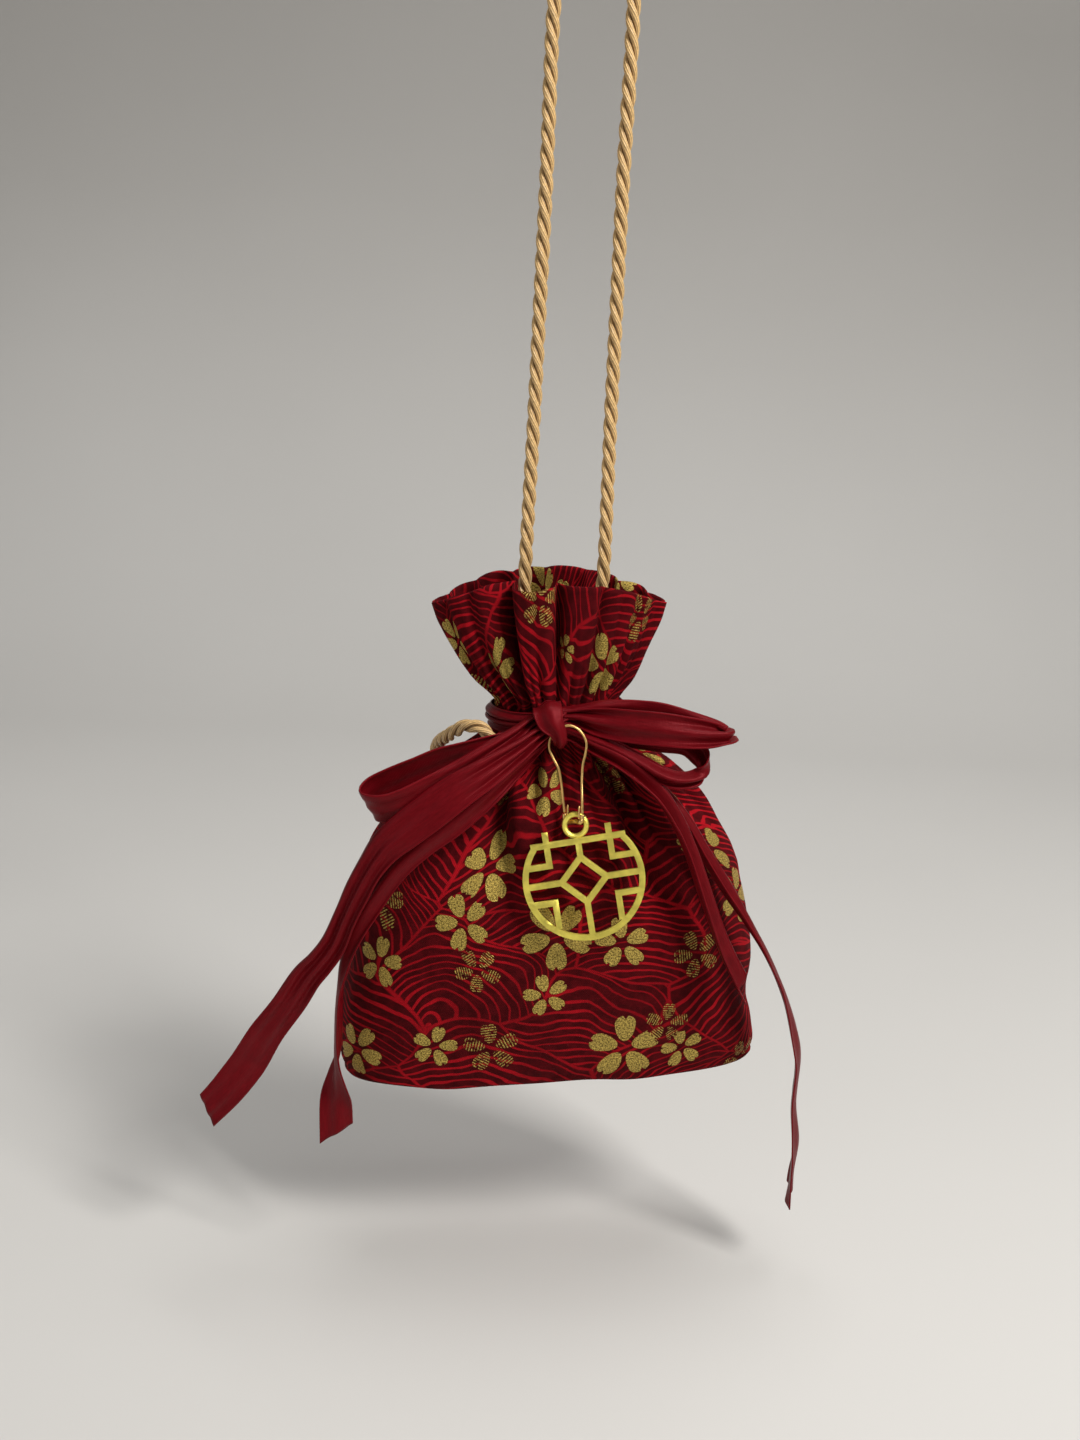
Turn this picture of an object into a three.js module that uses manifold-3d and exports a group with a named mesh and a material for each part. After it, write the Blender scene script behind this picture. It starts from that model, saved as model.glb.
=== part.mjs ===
// A small drawstring pouch of printed cotton, drawn shut at the neck, as it hangs from its cord.
// Two satin ribbons are tied round the neck in a bow. A bulb-shaped safety pin hangs from the
// knot and carries a round openwork pendant. Sizes are in millimetres, +Z is up.
//
// The pouch is laid out upright on z = 0 in its own pouch axes: +X to its right as seen from the
// bow side, and the bow on the -Y side. It hangs a few degrees askew, so the whole model is then
// turned about Y until the cord is plumb, with the origin at the top of the cord's loop.

import * as THREE from 'three';
import { mergeVertices } from 'three/addons/utils/BufferGeometryUtils.js';
import Module from 'manifold-3d';

const wasm = await Module();
wasm.setup();

// Driving dimensions
const HANG_TILT = 3.0;             // degrees between the pouch's own axis and the plumb cord
const BASE_TURN = 7;               // degrees that the base is twisted against the neck
const NECK_Z = 91;                 // middle of the drawn neck
const NECK_LOW = 88;               // lower end of the stretch that the ribbons grip
const NECK_HIGH = 94;              // upper end of that stretch
const NECK_HALF_WIDTH = 16.2;      // the drawn neck is an ellipse
const NECK_HALF_DEPTH = 12.2;
const RIM_Z = 121.5;               // top of the frill at the front and back
const RIM_DROP = 5.5;              // how much lower the rim's two side corners are
const CLOTH = 1.5;                 // frill wall, two layers of cotton, measured along a radius
const FUNNEL_FLOOR = 96;           // where the frill's funnel closes on the drawn neck
const CORD_D = 3.3;                // gold twisted cord
const LOOP_TOP = 262;              // top of the carrying loop above the pouch's base
const RIBBON_W = 10;               // satin ribbon
const RIBBON_T = 0.55;             // its thickness, as stiffened by its own folds
const PIN_WIRE_D = 0.62;           // safety pin wire
const CLASP_D = 1.1;               // folded clasp at the pin's lower end
const PIN_LEAN = 12;               // degrees that the pin leans out over the cloth
const MEDAL_R = 14.1;              // pendant
const MEDAL_T = 1.2;
const MEDAL_BAR = 1.4;             // width of the pendant's bars
const MEDAL_TURN = 9;              // degrees that the pendant hangs turned in its own plane
const GAP = 0.3;                   // air left between separate pieces that touch

const rad = THREE.MathUtils.degToRad;
const smooth = THREE.MathUtils.smoothstep;
const vec = (p) => new THREE.Vector3(...p);

// Closed surface through rings of equal length, with a flat fan at both ends
function loft(rings) {
  const n = rings[0].length;
  const points = rings.flat();
  const faces = [];
  for (let k = 0; k + 1 < rings.length; k += 1) {
    for (let i = 0; i < n; i += 1) {
      const a = k * n + i;
      const b = k * n + (i + 1) % n;
      faces.push(a, b, b + n, a, b + n, a + n);
    }
  }
  const fan = (k, flip) => {
    const centre = new THREE.Vector3();
    rings[k].forEach((p) => centre.addScaledVector(p, 1 / n));
    const hub = points.push(centre) - 1;
    for (let i = 0; i < n; i += 1) {
      const a = k * n + i;
      const b = k * n + (i + 1) % n;
      faces.push(...(flip ? [hub, b, a] : [hub, a, b]));
    }
  };
  fan(0, true);
  fan(rings.length - 1, false);
  const geometry = new THREE.BufferGeometry().setFromPoints(points);
  geometry.setIndex(faces);
  return geometry;
}

// Joins closed solids into one with exact booleans
function toSolid(geometry) {
  const bare = geometry.clone();
  bare.deleteAttribute('normal');
  bare.deleteAttribute('uv');
  const merged = mergeVertices(bare, 1e-4);
  return new wasm.Manifold(new wasm.Mesh({
    numProp: 3,
    vertProperties: Float32Array.from(merged.attributes.position.array),
    triVerts: Uint32Array.from(merged.index.array),
  }));
}

// Pockets that the pieces close off between them, as inside a knot, are filled
function union(geometries) {
  const joined = geometries.map(toSolid).reduce((sum, next) => sum.add(next));
  const shells = joined.decompose().filter((shell) => shell.volume() > 0);
  const mesh = shells.reduce((sum, next) => sum.add(next)).getMesh();
  const geometry = new THREE.BufferGeometry();
  geometry.setAttribute('position', new THREE.BufferAttribute(Float32Array.from(mesh.vertProperties), 3));
  geometry.setIndex(Array.from(mesh.triVerts));
  return geometry;
}

// Round wire or cord along a smooth curve
function roundBar(curve, diameter, steps, sides) {
  const section = new THREE.Shape();
  section.absarc(0, 0, diameter / 2, 0, 2 * Math.PI, false);
  return new THREE.ExtrudeGeometry(section, {
    steps, curveSegments: sides / 2, extrudePath: curve, bevelEnabled: false,
  });
}

const curveThrough = (points) => new THREE.CatmullRomCurve3(points.map(vec), false, 'centripetal');

// Flat ribbon swept through stations. Each station is [x, y, z, width, facing x, y, z], where
// facing is the direction that the ribbon's outer side looks to.
function ribbonStrip(stations, steps, thickness = RIBBON_T) {
  const path = curveThrough(stations.map((s) => s.slice(0, 3)));
  const facing = curveThrough(stations.map((s) => s.slice(4, 7)));
  const rings = [];
  for (let k = 0; k <= steps; k += 1) {
    const t = k / steps;
    const at = path.getPoint(t);
    const along = path.getTangent(t);
    const across = new THREE.Vector3().crossVectors(along, facing.getPoint(t)).normalize();
    const out = new THREE.Vector3().crossVectors(across, along).normalize();
    const f = t * (stations.length - 1);
    const low = Math.min(Math.floor(f), stations.length - 2);
    const width = THREE.MathUtils.lerp(stations[low][3], stations[low + 1][3], f - low);
    const corner = (u, v) => at.clone().addScaledVector(across, u * width / 2)
      .addScaledVector(out, v * thickness / 2);
    rings.push([corner(-1, -1), corner(-1, 1), corner(1, 1), corner(1, -1)]);
  }
  return loft(rings);
}

// Pouch cloth

// Outline at each height: [z, half width left, half width right, half depth, squareness].
// Squareness 2 is an ellipse, more is boxier, less runs out to the two side corners.
const BODY_LEVELS = [
  [0, 46, 44.5, 12.5, 2.8],
  [0.6, 49.5, 48, 14.8, 2.8],
  [3.2, 52, 50.3, 17, 2.8],
  [9, 52.8, 50.6, 19, 2.7],
  [17, 52.6, 48.6, 21, 2.6],
  [27, 51.6, 49.2, 22.6, 2.5],
  [37, 50, 48, 23.6, 2.4],
  [46, 48, 46.4, 24, 2.3],
  [54, 46, 44.8, 23.8, 2.3],
  [61, 43, 42.4, 23, 2.2],
  [67, 39.4, 39.8, 21.8, 2.2],
  [72, 35.6, 36.4, 20.4, 2.1],
  [76.5, 30.8, 31.6, 18.6, 2.1],
  [80.5, 25.4, 26, 16.6, 2],
  [84, 20.6, 21, 14.6, 2],
  [NECK_LOW - 0.6, 16.8, 17, 12.8, 2],
  [NECK_LOW, NECK_HALF_WIDTH, NECK_HALF_WIDTH, NECK_HALF_DEPTH, 2],
  [NECK_Z, NECK_HALF_WIDTH, NECK_HALF_WIDTH, NECK_HALF_DEPTH, 2],
  [NECK_HIGH, NECK_HALF_WIDTH, NECK_HALF_WIDTH, NECK_HALF_DEPTH, 2],
];

// The frill, by its share of the height from neck to rim
const FRILL_LEVELS = [
  [0.06, 17, 17.2, 12.1, 2],
  [0.17, 19.2, 19.4, 11.9, 1.9],
  [0.32, 21.6, 21.4, 11.9, 1.85],
  [0.48, 23.9, 23, 12.1, 1.8],
  [0.64, 26, 24.7, 12.5, 1.75],
  [0.82, 27.6, 26, 12.9, 1.7],
  [1, 28.8, 27, 13.3, 1.7],
];

// Folds of the gathered cloth: [direction in degrees from the front, towards +X positive,
// share of the radius that it takes at the rim, at the neck, on the body, half width in degrees]
const FOLDS = [
  [-22.5, 0.34, 0.16, 0.15, 6],
  [-1, 0.42, 0.2, 0.13, 4.6],
  [22.5, 0.12, 0.16, 0.17, 6.5],
  [45, 0.05, 0.14, 0.1, 6.5],
  [67.5, 0.04, 0.16, 0.06, 7],
  [94, 0.02, 0.14, 0.05, 7],
  [116, 0.08, 0.16, 0.09, 7],
  [138, 0.22, 0.15, 0.12, 6.5],
  [161, 0.1, 0.17, 0.13, 6.5],
  [184, 0.18, 0.15, 0.12, 6],
  [203, 0.32, 0.18, 0.13, 6],
  [225, 0.1, 0.15, 0.1, 6.5],
  [247, 0.06, 0.16, 0.08, 7],
  [270, 0.02, 0.14, 0.05, 7],
  [293, 0.04, 0.16, 0.07, 7],
  [315, 0.06, 0.15, 0.11, 6.5],
];
const GATHER_END = 40;             // the gathers have run out below this height
const GATHER_FULL = 74;
const COLUMNS = 88;

// How far the folds draw the cloth in, where share says how much of the rim's, the neck's and
// the body's fold depth counts at this height
function foldAt(turn, share) {
  let sum = 0;
  for (const [at, rim, neck, body, span] of FOLDS) {
    const away = Math.abs(((turn - at) % 360 + 540) % 360 - 180) / span;
    const depth = rim * share.rim + neck * share.neck + body * share.body;
    sum += depth * Math.exp(-(away ** 1.5));
  }
  return Math.min(sum, 0.6);
}

// One ring of the cloth, inset from its outer face by a radial distance
function clothRing([, left, right, depth, square], height, folds, inset, twist) {
  const ring = [];
  for (let i = 0; i < COLUMNS; i += 1) {
    const turn = 360 * i / COLUMNS;
    const s = Math.sin(rad(turn));
    const c = Math.cos(rad(turn));
    const x = (s > 0 ? right : left) * Math.sign(s) * Math.abs(s) ** (2 / square);
    const y = -depth * Math.sign(c) * Math.abs(c) ** (2 / square);
    const radius = Math.hypot(x, y);
    const share = 1 - foldAt(turn, folds) - inset / radius;
    const p = new THREE.Vector3(x * share, y * share, height(s));
    ring.push(p.applyAxisAngle(new THREE.Vector3(0, 0, 1), rad(twist)));
  }
  return ring;
}

const FUNNEL_END = [0, 7.4, 7.4, 4.4, 2];  // outline of the funnel's closed end

const rimHeight = (s) => RIM_Z - RIM_DROP * Math.abs(s) ** 3;
const frillHeight = (share) => (s) => NECK_HIGH + share * (rimHeight(s) - NECK_HIGH);

function makePouch() {
  const rings = BODY_LEVELS.map((level) => {
    const z = level[0];
    const neck = smooth(z, GATHER_FULL, NECK_LOW);
    const body = smooth(z, GATHER_END, GATHER_FULL) * (1 - neck);
    const twist = BASE_TURN * (1 - smooth(z, 20, 80));
    return clothRing(level, () => z, { rim: 0, neck, body }, 0, twist);
  });
  const frillRing = (level, inset) => {
    const rim = smooth(level[0], 0, 0.75);
    return clothRing(level, frillHeight(level[0]), { rim, neck: 1 - rim, body: 0 }, inset, 0);
  };
  rings.push(...FRILL_LEVELS.map((level) => frillRing(level, 0)));
  const inner = FRILL_LEVELS.filter((level) => frillHeight(level[0])(0) > FUNNEL_FLOOR).reverse();
  rings.push(...inner.map((level) => frillRing(level, CLOTH)));
  rings.push(clothRing(FUNNEL_END, () => FUNNEL_FLOOR, { rim: 0, neck: 0, body: 0 }, 0, 0));
  return loft(rings);
}

// Cords

const STRAND_LEFT_LOW = [-3.9, -0.8, FUNNEL_FLOOR + 1.1];
const STRAND_RIGHT_LOW = [4.1, -0.8, FUNNEL_FLOOR + 1.1];
const LOOP_R = 8.2;                // of the round top, which the hand holds
const LOOP_X = 8.7;
const CORD_Y = -1.5;               // the two strands and the loop lie in this plane

function loopAt(turn) {
  const z = LOOP_TOP - LOOP_R + LOOP_R * Math.cos(rad(turn));
  return [LOOP_X + LOOP_R * Math.sin(rad(turn)), CORD_Y, z];
}

const CARRY_CORD_ROUTE = [
  STRAND_LEFT_LOW,
  [-5.4, -1.3, 105],
  [-6.4, CORD_Y, 112],
  [-6.7, CORD_Y, 119],
  [-4.3, CORD_Y, 163],
  [-1.9, CORD_Y, 208],
  ...[-90, -60, -30, 0, 30, 60, 90].map(loopAt),
  [15.1, CORD_Y, 208],
  [13.2, CORD_Y, 163],
  [11.4, CORD_Y, 119],
  [10.4, CORD_Y, 112],
  [7.4, -1.3, 104],
  STRAND_RIGHT_LOW,
];

// The free end of the draw cord: out through the gathers, over in an arch and down the back
const TAIL_ROUTE = [
  [-14, -12.9, 85],
  [-14.9, -13.2, 87.6],
  [-17.3, -12.7, 89.5],
  [-20.4, -11, 89.3],
  [-23, -8, 87.4],
  [-25, -4, 85.2],
  [-26.5, 0.8, 83.2],
  [-27.8, 6.2, 80.9],
  [-28.8, 11.4, 78],
  [-29.3, 16.2, 74],
  [-29.4, 20.2, 68.8],
  [-29.4, 22.8, 62.6],
  [-29.4, 24.3, 56],
  [-29.6, 25.2, 49],
];
const KNOT_TOP = [-29.6, 25.3, 48.6];
const KNOT_R = 3.6;
const TASSEL_LENGTH = 15;

function makeCarryCord() {
  return roundBar(curveThrough(CARRY_CORD_ROUTE), CORD_D, 78, 8);
}

function makeDrawCordTail() {
  return roundBar(curveThrough(TAIL_ROUTE), CORD_D, 34, 8);
}

// Overhand knot with the frayed end below it, as one turned form
function makeEndKnot() {
  const profile = [
    [0, 0], [1.5, -0.1], [2.9, -0.9], [KNOT_R, -2.6], [KNOT_R, -4], [2.9, -5.6], [2, -6.6],
    [2.1, -7.8], [2.8, -12], [3.1, -6.6 - TASSEL_LENGTH + 1], [2.9, -6.6 - TASSEL_LENGTH],
    [0, -6.6 - TASSEL_LENGTH],
  ];
  const knot = new THREE.LatheGeometry(profile.map(([r, z]) => new THREE.Vector2(r, z)).reverse(), 20);
  knot.rotateX(Math.PI / 2);
  knot.translate(...KNOT_TOP);
  return knot;
}

// Ribbons

const FRONT = [0, -1, 0];

function neckBand(low, high) {
  const inner = NECK_HALF_WIDTH + GAP;
  const outer = inner + RIBBON_T;
  const corners = [[inner, low], [outer, low], [outer, high], [inner, high], [inner, low]];
  const band = new THREE.LatheGeometry(corners.map(([r, z]) => new THREE.Vector2(r, z)), 28);
  band.rotateX(Math.PI / 2);
  band.scale(1, (NECK_HALF_DEPTH + GAP) / inner, 1);
  return band;
}

// The band that wraps the knot, wide at its upper left and bunched where the pin hangs in it
function knotWrap() {
  const stations = [
    [-1.6, -17.2, 95.9, 6.6, -0.3, 0, 1],
    [-1.4, -20, 95, 6.6, -0.2, -0.8, 0.7],
    [-0.7, -21.2, 92.8, 6, -0.1, -1, 0.1],
    [0.9, -21.5, 90.4, 4, 0, -1, 0],
    [1.6, -20.8, 87.6, 3, 0, -0.9, -0.5],
    [1.4, -17.6, 86.3, 3, 0, 0, -1],
    [1.2, -14.3, 87, 3, 0, 1, -0.6],
    [0.6, -13.6, 90, 3.4, 0, 1, 0],
    [-0.5, -13.1, 92.6, 4.6, 0, 1, 0],
    [-1.5, -14.4, 95.3, 6.2, -0.2, 0.6, 0.9],
    [-1.6, -17.2, 95.9, 6.6, -0.3, 0, 1],
  ];
  return ribbonStrip(stations, 36);
}

const LEFT_LOOP = [
  [3, -15.9, 93.2, 3, 0, 1, 0],
  [-3.5, -16, 93, 3, 0, 1, 0],
  [-9, -17.4, 89.8, 7, 0, 1, 0.1],
  [-15, -19, 86.8, 9.6, 0, 1, 0.1],
  [-25, -21, 83.4, RIBBON_W, 0, 1, 0.1],
  [-35, -23, 79.2, RIBBON_W, -0.3, 1, 0.1],
  [-41.4, -25, 75.6, RIBBON_W, -0.9, 0.5, 0],
  [-42.2, -27.6, 73.2, RIBBON_W, -0.9, -0.5, 0],
  [-38.6, -29.4, 73.4, RIBBON_W, -0.3, -1, 0],
  [-30, -29.2, 77.2, RIBBON_W, 0, -1, 0],
  [-18, -27, 82, 9.4, 0, -1, 0],
  [-10, -23.4, 86, 7, 0, -1, 0],
  [-3.8, -16.6, 92.2, 3, 0, -1, 0],
  [3, -15.9, 92.8, 3, 0, -1, 0],
];

const RIGHT_LOOP = [
  [-3, -15.9, 92.8, 3, 0, -1, 0],
  [4.2, -16, 93, 3.4, 0, -1, 0],
  [10.6, -18, 93.8, 8.4, 0, -1, 0.1],
  [17.3, -20.4, 93.4, RIBBON_W, 0, -1, 0.1],
  [25, -22, 92, RIBBON_W, 0, -1, 0.15],
  [33, -22, 90.2, RIBBON_W, 0.2, -1, 0.3],
  [40.2, -21.2, 88.8, 9.4, 0.8, -0.8, 0.4],
  [42.6, -19.4, 88.2, 9, 1, 0, 0.3],
  [40, -18.2, 88.6, 9, 0.6, 0.9, 0],
  [32, -18.2, 90.6, 9.4, 0, 1, 0],
  [22, -17.4, 92.2, 9, 0, 1, 0],
  [11, -16.2, 93.4, 6, 0, 1, 0],
  [4, -15.7, 93.4, 3, 0, 1, 0],
  [-3, -15.9, 93.2, 3, 0, 1, 0],
];

const TAIL_A = [
  [2, -16, 92.4, 3, ...FRONT],
  [-3.4, -17.5, 91.8, 3, ...FRONT],
  [-7.4, -20.6, 85.6, 6.6, ...FRONT],
  [-12.2, -23, 81.5, 8.6, ...FRONT],
  [-17.2, -25, 77.9, 9.4, ...FRONT],
  [-23.5, -26.5, 73.1, 9.4, ...FRONT],
  [-30.3, -27.5, 68, 8.8, -0.2, -1, 0],
  [-37.7, -27.5, 62, 8.4, -0.3, -1, 0],
  [-45.1, -26.5, 53.2, 8.6, -0.3, -1, 0],
  [-51.9, -25, 40.6, 8, -0.2, -1, 0],
  [-57.4, -24, 32.2, 7.6, 0, -1, 0.2],
  [-62.5, -23, 24.5, 8, 0.2, -1, 0],
  [-68.4, -22, 16.4, 8.6, 0.3, -1, 0],
  [-73.2, -21, 8.4, 9, 0.3, -1, 0],
  [-78.6, -21, 1.4, 8.6, 0.2, -1, 0],
  [-83.4, -21, -3.7, 8, 0.2, -1, 0],
];

const TAIL_C = [
  [-2, -15.9, 92.4, 3, ...FRONT],
  [3.6, -15.8, 92.5, 2.6, 0.2, -1, 0],
  [7.4, -15.6, 91.2, 2.6, 0.3, -1, 0],
  [10.4, -16, 87.8, 3, 0.5, -0.8, 0.2],
  [13.8, -16.6, 84.4, 4, 0.7, -0.7, 0.4],
  [21.3, -17.2, 79, 5.6, 0.9, -0.2, 0.6],
  [30, -17.4, 69, 6, 0.9, -0.2, 0.6],
  [35.5, -17.4, 59.8, 6, 0.9, -0.2, 0.5],
  [40.9, -16.8, 51.2, 6, 0.9, -0.2, 0.5],
  [45.5, -16.4, 43.6, 7, 0.9, 0, 0.5],
  [50.8, -15.6, 34.2, 8, 0.9, 0, 0.4],
  [55.5, -14.6, 23.1, 8, 0.9, -0.1, 0.3],
  [58.2, -14, 13.5, 8, 1, -0.3, 0.1],
  [59.6, -13.4, 6.7, 8, 1, -0.3, 0],
  [59.1, -13, -6.2, 8, 1, -0.2, 0],
  [60, -13, -16.4, 8, 1, -0.3, 0],
  [59.3, -13, -24.9, 8, 1, -0.2, 0],
  [58.8, -13, -31, 7, 1, -0.2, 0],
];

const SMALL_LOOP = [
  [-3, -15.9, 89.2, 2.6, 0, 1, 0],
  [4.6, -14.7, 89.1, 2.6, 0, 1, 0],
  [9, -13.6, 88, 3.4, 0, 1, 0],
  [15.3, -13.4, 86.2, 4.6, 0, 1, 0],
  [24.5, -15, 84.6, 5, 0, 1, 0.2],
  [31, -17, 83.4, 5, 0.4, 0.8, 0.6],
  [34.4, -19.8, 81.4, 5.6, 1, 0, 0.4],
  [33.2, -21.8, 78.8, 6.4, 0.8, -0.6, -0.6],
  [29.6, -22.6, 78.4, 7, 0.2, -0.9, -0.3],
  [25, -22.6, 79.8, 7, 0, -1, 0],
  [19.6, -21.4, 82.6, 6, 0, -1, 0],
  [13.4, -19.4, 85.4, 4.6, 0, -1, 0],
  [8.4, -17.9, 87.4, 3, 0, -1, 0],
  [4, -16.1, 89, 2.6, 0, -1, 0],
  [-3, -15.9, 89.2, 2.6, 0, -1, 0],
];

const TAIL_B = [
  [3, -15.9, 89.2, 2.6, ...FRONT],
  [-3, -15.9, 89, 2.6, ...FRONT],
  [-6.6, -15.8, 84.4, 5, ...FRONT],
  [-12.6, -19, 77.4, 8, ...FRONT],
  [-18, -21.8, 72.3, 9, ...FRONT],
  [-26, -23.9, 64.7, 9, ...FRONT],
  [-34.1, -24.2, 56.5, 8.6, -0.2, -1, 0],
  [-42, -23.6, 47.6, 8, -0.6, -0.8, 0],
  [-47.5, -22.6, 38.5, 7.6, -0.9, -0.3, 0],
  [-50.4, -22, 26, 7.6, -1, 0, 0],
  [-51.2, -21.8, 12.5, 7.6, -1, 0, 0],
  [-51.8, -21.8, 4.7, 8, -0.8, -0.6, 0],
  [-52.2, -21.8, -2, 8, -0.2, -1, 0],
  [-52.3, -21.8, -9.4, 8, 0, -1, 0],
];

const TAIL_D = [
  [-3, -15.9, 89.2, 2.6, ...FRONT],
  [4, -16.4, 88.6, 2.6, ...FRONT],
  [9, -18.1, 85.2, 3, ...FRONT],
  [16.3, -21, 80.8, 4, 0.3, -0.9, 0.3],
  [23.7, -22.8, 74.8, 5, 0.6, -0.7, 0.4],
  [27.9, -23.2, 69, 5.6, 0.6, -0.7, 0.4],
  [31.2, -23.3, 62.8, 5.6, 0.7, -0.6, 0.4],
  [35.5, -23.2, 50.8, 6, 0.7, -0.6, 0.3],
  [39.9, -22.4, 38.8, 6.6, 0.7, -0.6, 0.2],
  [44.6, -21.4, 28.4, 6.6, 0.7, -0.6, 0.2],
];

// Each ribbon leaves its knot and turns back against its own band round the neck
const anchor = (side, z) => ribbonStrip([
  [side * 2, -15.9, z, 2.4, ...FRONT],
  [side * 4.4, -15.4, z, 2.4, side * 0.4, -1, 0],
  [side * 6.6, -13.2, z, 2.4, side * 0.6, -1, 0],
  [side * 9, -11.2, z, 2.4, side * 0.5, -1, 0],
], 6, 1.1);

function makeRibbonOne() {
  return union([
    neckBand(NECK_Z + 0.3, NECK_HIGH - 0.1),
    knotWrap(),
    anchor(-1, 92.6),
    anchor(1, 92.6),
    ribbonStrip(LEFT_LOOP, 36),
    ribbonStrip(RIGHT_LOOP, 36),
    ribbonStrip(TAIL_A, 30),
    ribbonStrip(TAIL_C, 32),
  ]);
}

function makeRibbonTwo() {
  return union([
    neckBand(NECK_LOW + 0.1, NECK_Z - 0.1),
    anchor(-1, 88.7),
    anchor(1, 88.7),
    ribbonStrip(SMALL_LOOP, 34),
    ribbonStrip(TAIL_B, 28),
    ribbonStrip(TAIL_D, 18),
  ]);
}

// Pin and pendant, drawn in their own plane: X to the right, Z up, the hinge at the origin

const HINGE = [1.4, -18.5, 90.4];
const flat = (points, y = 0) => points.map(([x, z]) => [x, y, z]);

const BULB_OUTLINE = flat([
  [1.15, -19.2], [0.7, -15.6], [0.35, -12.4], [-0.3, -9], [-1.6, -6.4], [-2.4, -4.4],
  [-2.3, -2.5], [-1.5, -1], [-0.3, 0], [1.2, 0.75], [2.6, 0.8], [4, 0.2], [5.3, -1.2],
  [6.1, -3.2], [5.9, -5.4], [5.3, -8], [5.05, -12], [5.1, -16], [5.15, -19.2],
]);
const RING_CENTRE = [3.6, -22];
const RING_R = 2.5;                // to the middle of the ring's wire
const RING_D = 1.3;
const RING_RISE = 12.6;            // from the pendant's centre to the ring's centre
const CROSS_Y = 1.5;               // how far the clasp's two jaws stand off the ring's plane

function makePinWire() {
  // The two legs end one behind and one before the pendant's ring
  const points = BULB_OUTLINE.map(([x, , z]) => {
    const share = smooth(-z, 9, 18);
    return [x, (x < 3 ? 1 : -1) * CROSS_Y * share, z];
  });
  return roundBar(curveThrough(points), PIN_WIRE_D, 46, 8);
}

function makePinClasp() {
  const [cx, cz] = RING_CENTRE;
  const jaws = curveThrough([
    [1.15, CROSS_Y, -19.5], [1.2, CROSS_Y, -20.5], [1.7, CROSS_Y * 1.1, -21.3],
    [cx - 0.7, CROSS_Y * 0.5, cz + 0.75], [cx, 0, cz + 0.9], [cx + 0.7, -CROSS_Y * 0.5, cz + 0.75],
    [4.7, -CROSS_Y * 1.1, -21.1], [5.1, -CROSS_Y, -20.4], [5.15, -CROSS_Y, -19.5],
  ]);
  const prong = (x, y) => roundBar(
    new THREE.LineCurve3(vec([x, y, -20.4]), vec([x, y, -17.4])), 0.5, 1, 6);
  return union([
    roundBar(jaws, CLASP_D, 20, 8),
    prong(1.15 + 0.72, CROSS_Y),
    prong(5.15 - 0.72, -CROSS_Y),
  ]);
}

// A straight bar of the pendant, given by its two ends in the pendant's own plane
function bar(x1, z1, x2, z2) {
  const length = Math.hypot(x2 - x1, z2 - z1);
  const box = new THREE.BoxGeometry(length, MEDAL_T, MEDAL_BAR);
  box.rotateY(-Math.atan2(z2 - z1, x2 - x1));
  box.translate((x1 + x2) / 2, 0, (z1 + z2) / 2);
  return box;
}

// Part of the round rim, as a flat arc between two angles
function rimArc(from, to) {
  const shape = new THREE.Shape();
  shape.absarc(0, 0, MEDAL_R, rad(from), rad(to), false);
  shape.absarc(0, 0, MEDAL_R - MEDAL_BAR, rad(to), rad(from), true);
  const arc = new THREE.ExtrudeGeometry(shape, { depth: MEDAL_T, bevelEnabled: false, curveSegments: 20 });
  arc.rotateX(Math.PI / 2);
  arc.translate(0, MEDAL_T / 2, 0);
  return arc;
}

function makePendant() {
  const top = 9;
  const step = 4.3;
  const post = 7.3;
  const arm = 12.9;
  const lozenge = 5.2;
  const parts = [rimArc(-220, 40), bar(-11, top, 11, top)];
  for (const side of [-1, 1]) {
    parts.push(bar(side * post, top, side * post, 12));
    parts.push(bar(side * post, top, side * post, step - MEDAL_BAR / 2));
    parts.push(bar(side * post, step, side * arm, step));
    parts.push(bar(side * post, -step, side * arm, -step));
    parts.push(bar(side * post, -step + MEDAL_BAR / 2, side * post, -10.4));
    parts.push(bar(side * lozenge, 0, side * arm, 0));
    parts.push(bar(0, lozenge, side * lozenge, 0));
    parts.push(bar(0, -lozenge, side * lozenge, 0));
    parts.push(bar(0, side * lozenge, 0, side > 0 ? top : -13.2));
  }
  const ring = new THREE.TorusGeometry(RING_R, RING_D / 2, 8, 24);
  ring.rotateX(Math.PI / 2);
  ring.translate(0, 0, RING_RISE);
  parts.push(ring);
  const pendant = union(parts);
  pendant.translate(0, 0, -RING_RISE);
  pendant.rotateY(rad(-MEDAL_TURN));
  pendant.translate(RING_CENTRE[0], 0, RING_CENTRE[1]);
  return pendant;
}

// Materials, with the colours of the real thing

function finish(color, roughness, metalness) {
  return new THREE.MeshStandardMaterial({ color, roughness, metalness });
}

const CLOTH_RED = finish(0x6e0c18, 0.85, 0);
const SATIN_RED = finish(0x6e0d1a, 0.42, 0);
const CORD_GOLD = finish(0xcfa868, 0.6, 0);
const PIN_GOLD = finish(0xd8ab4e, 0.25, 1);
const PENDANT_GOLD = finish(0xd3b63f, 0.38, 1);

function named(name, geometry, material) {
  const mesh = new THREE.Mesh(geometry, material);
  mesh.name = name;
  return mesh;
}

// Assembly

const inPouchAxes = new THREE.Group();
inPouchAxes.add(
  named('pouch', makePouch(), CLOTH_RED),
  named('carry_cord', makeCarryCord(), CORD_GOLD),
  named('draw_cord_tail', makeDrawCordTail(), CORD_GOLD),
  named('draw_cord_end_knot', makeEndKnot(), CORD_GOLD),
  named('ribbon_long', makeRibbonOne(), SATIN_RED),
  named('ribbon_short', makeRibbonTwo(), SATIN_RED),
);

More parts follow.
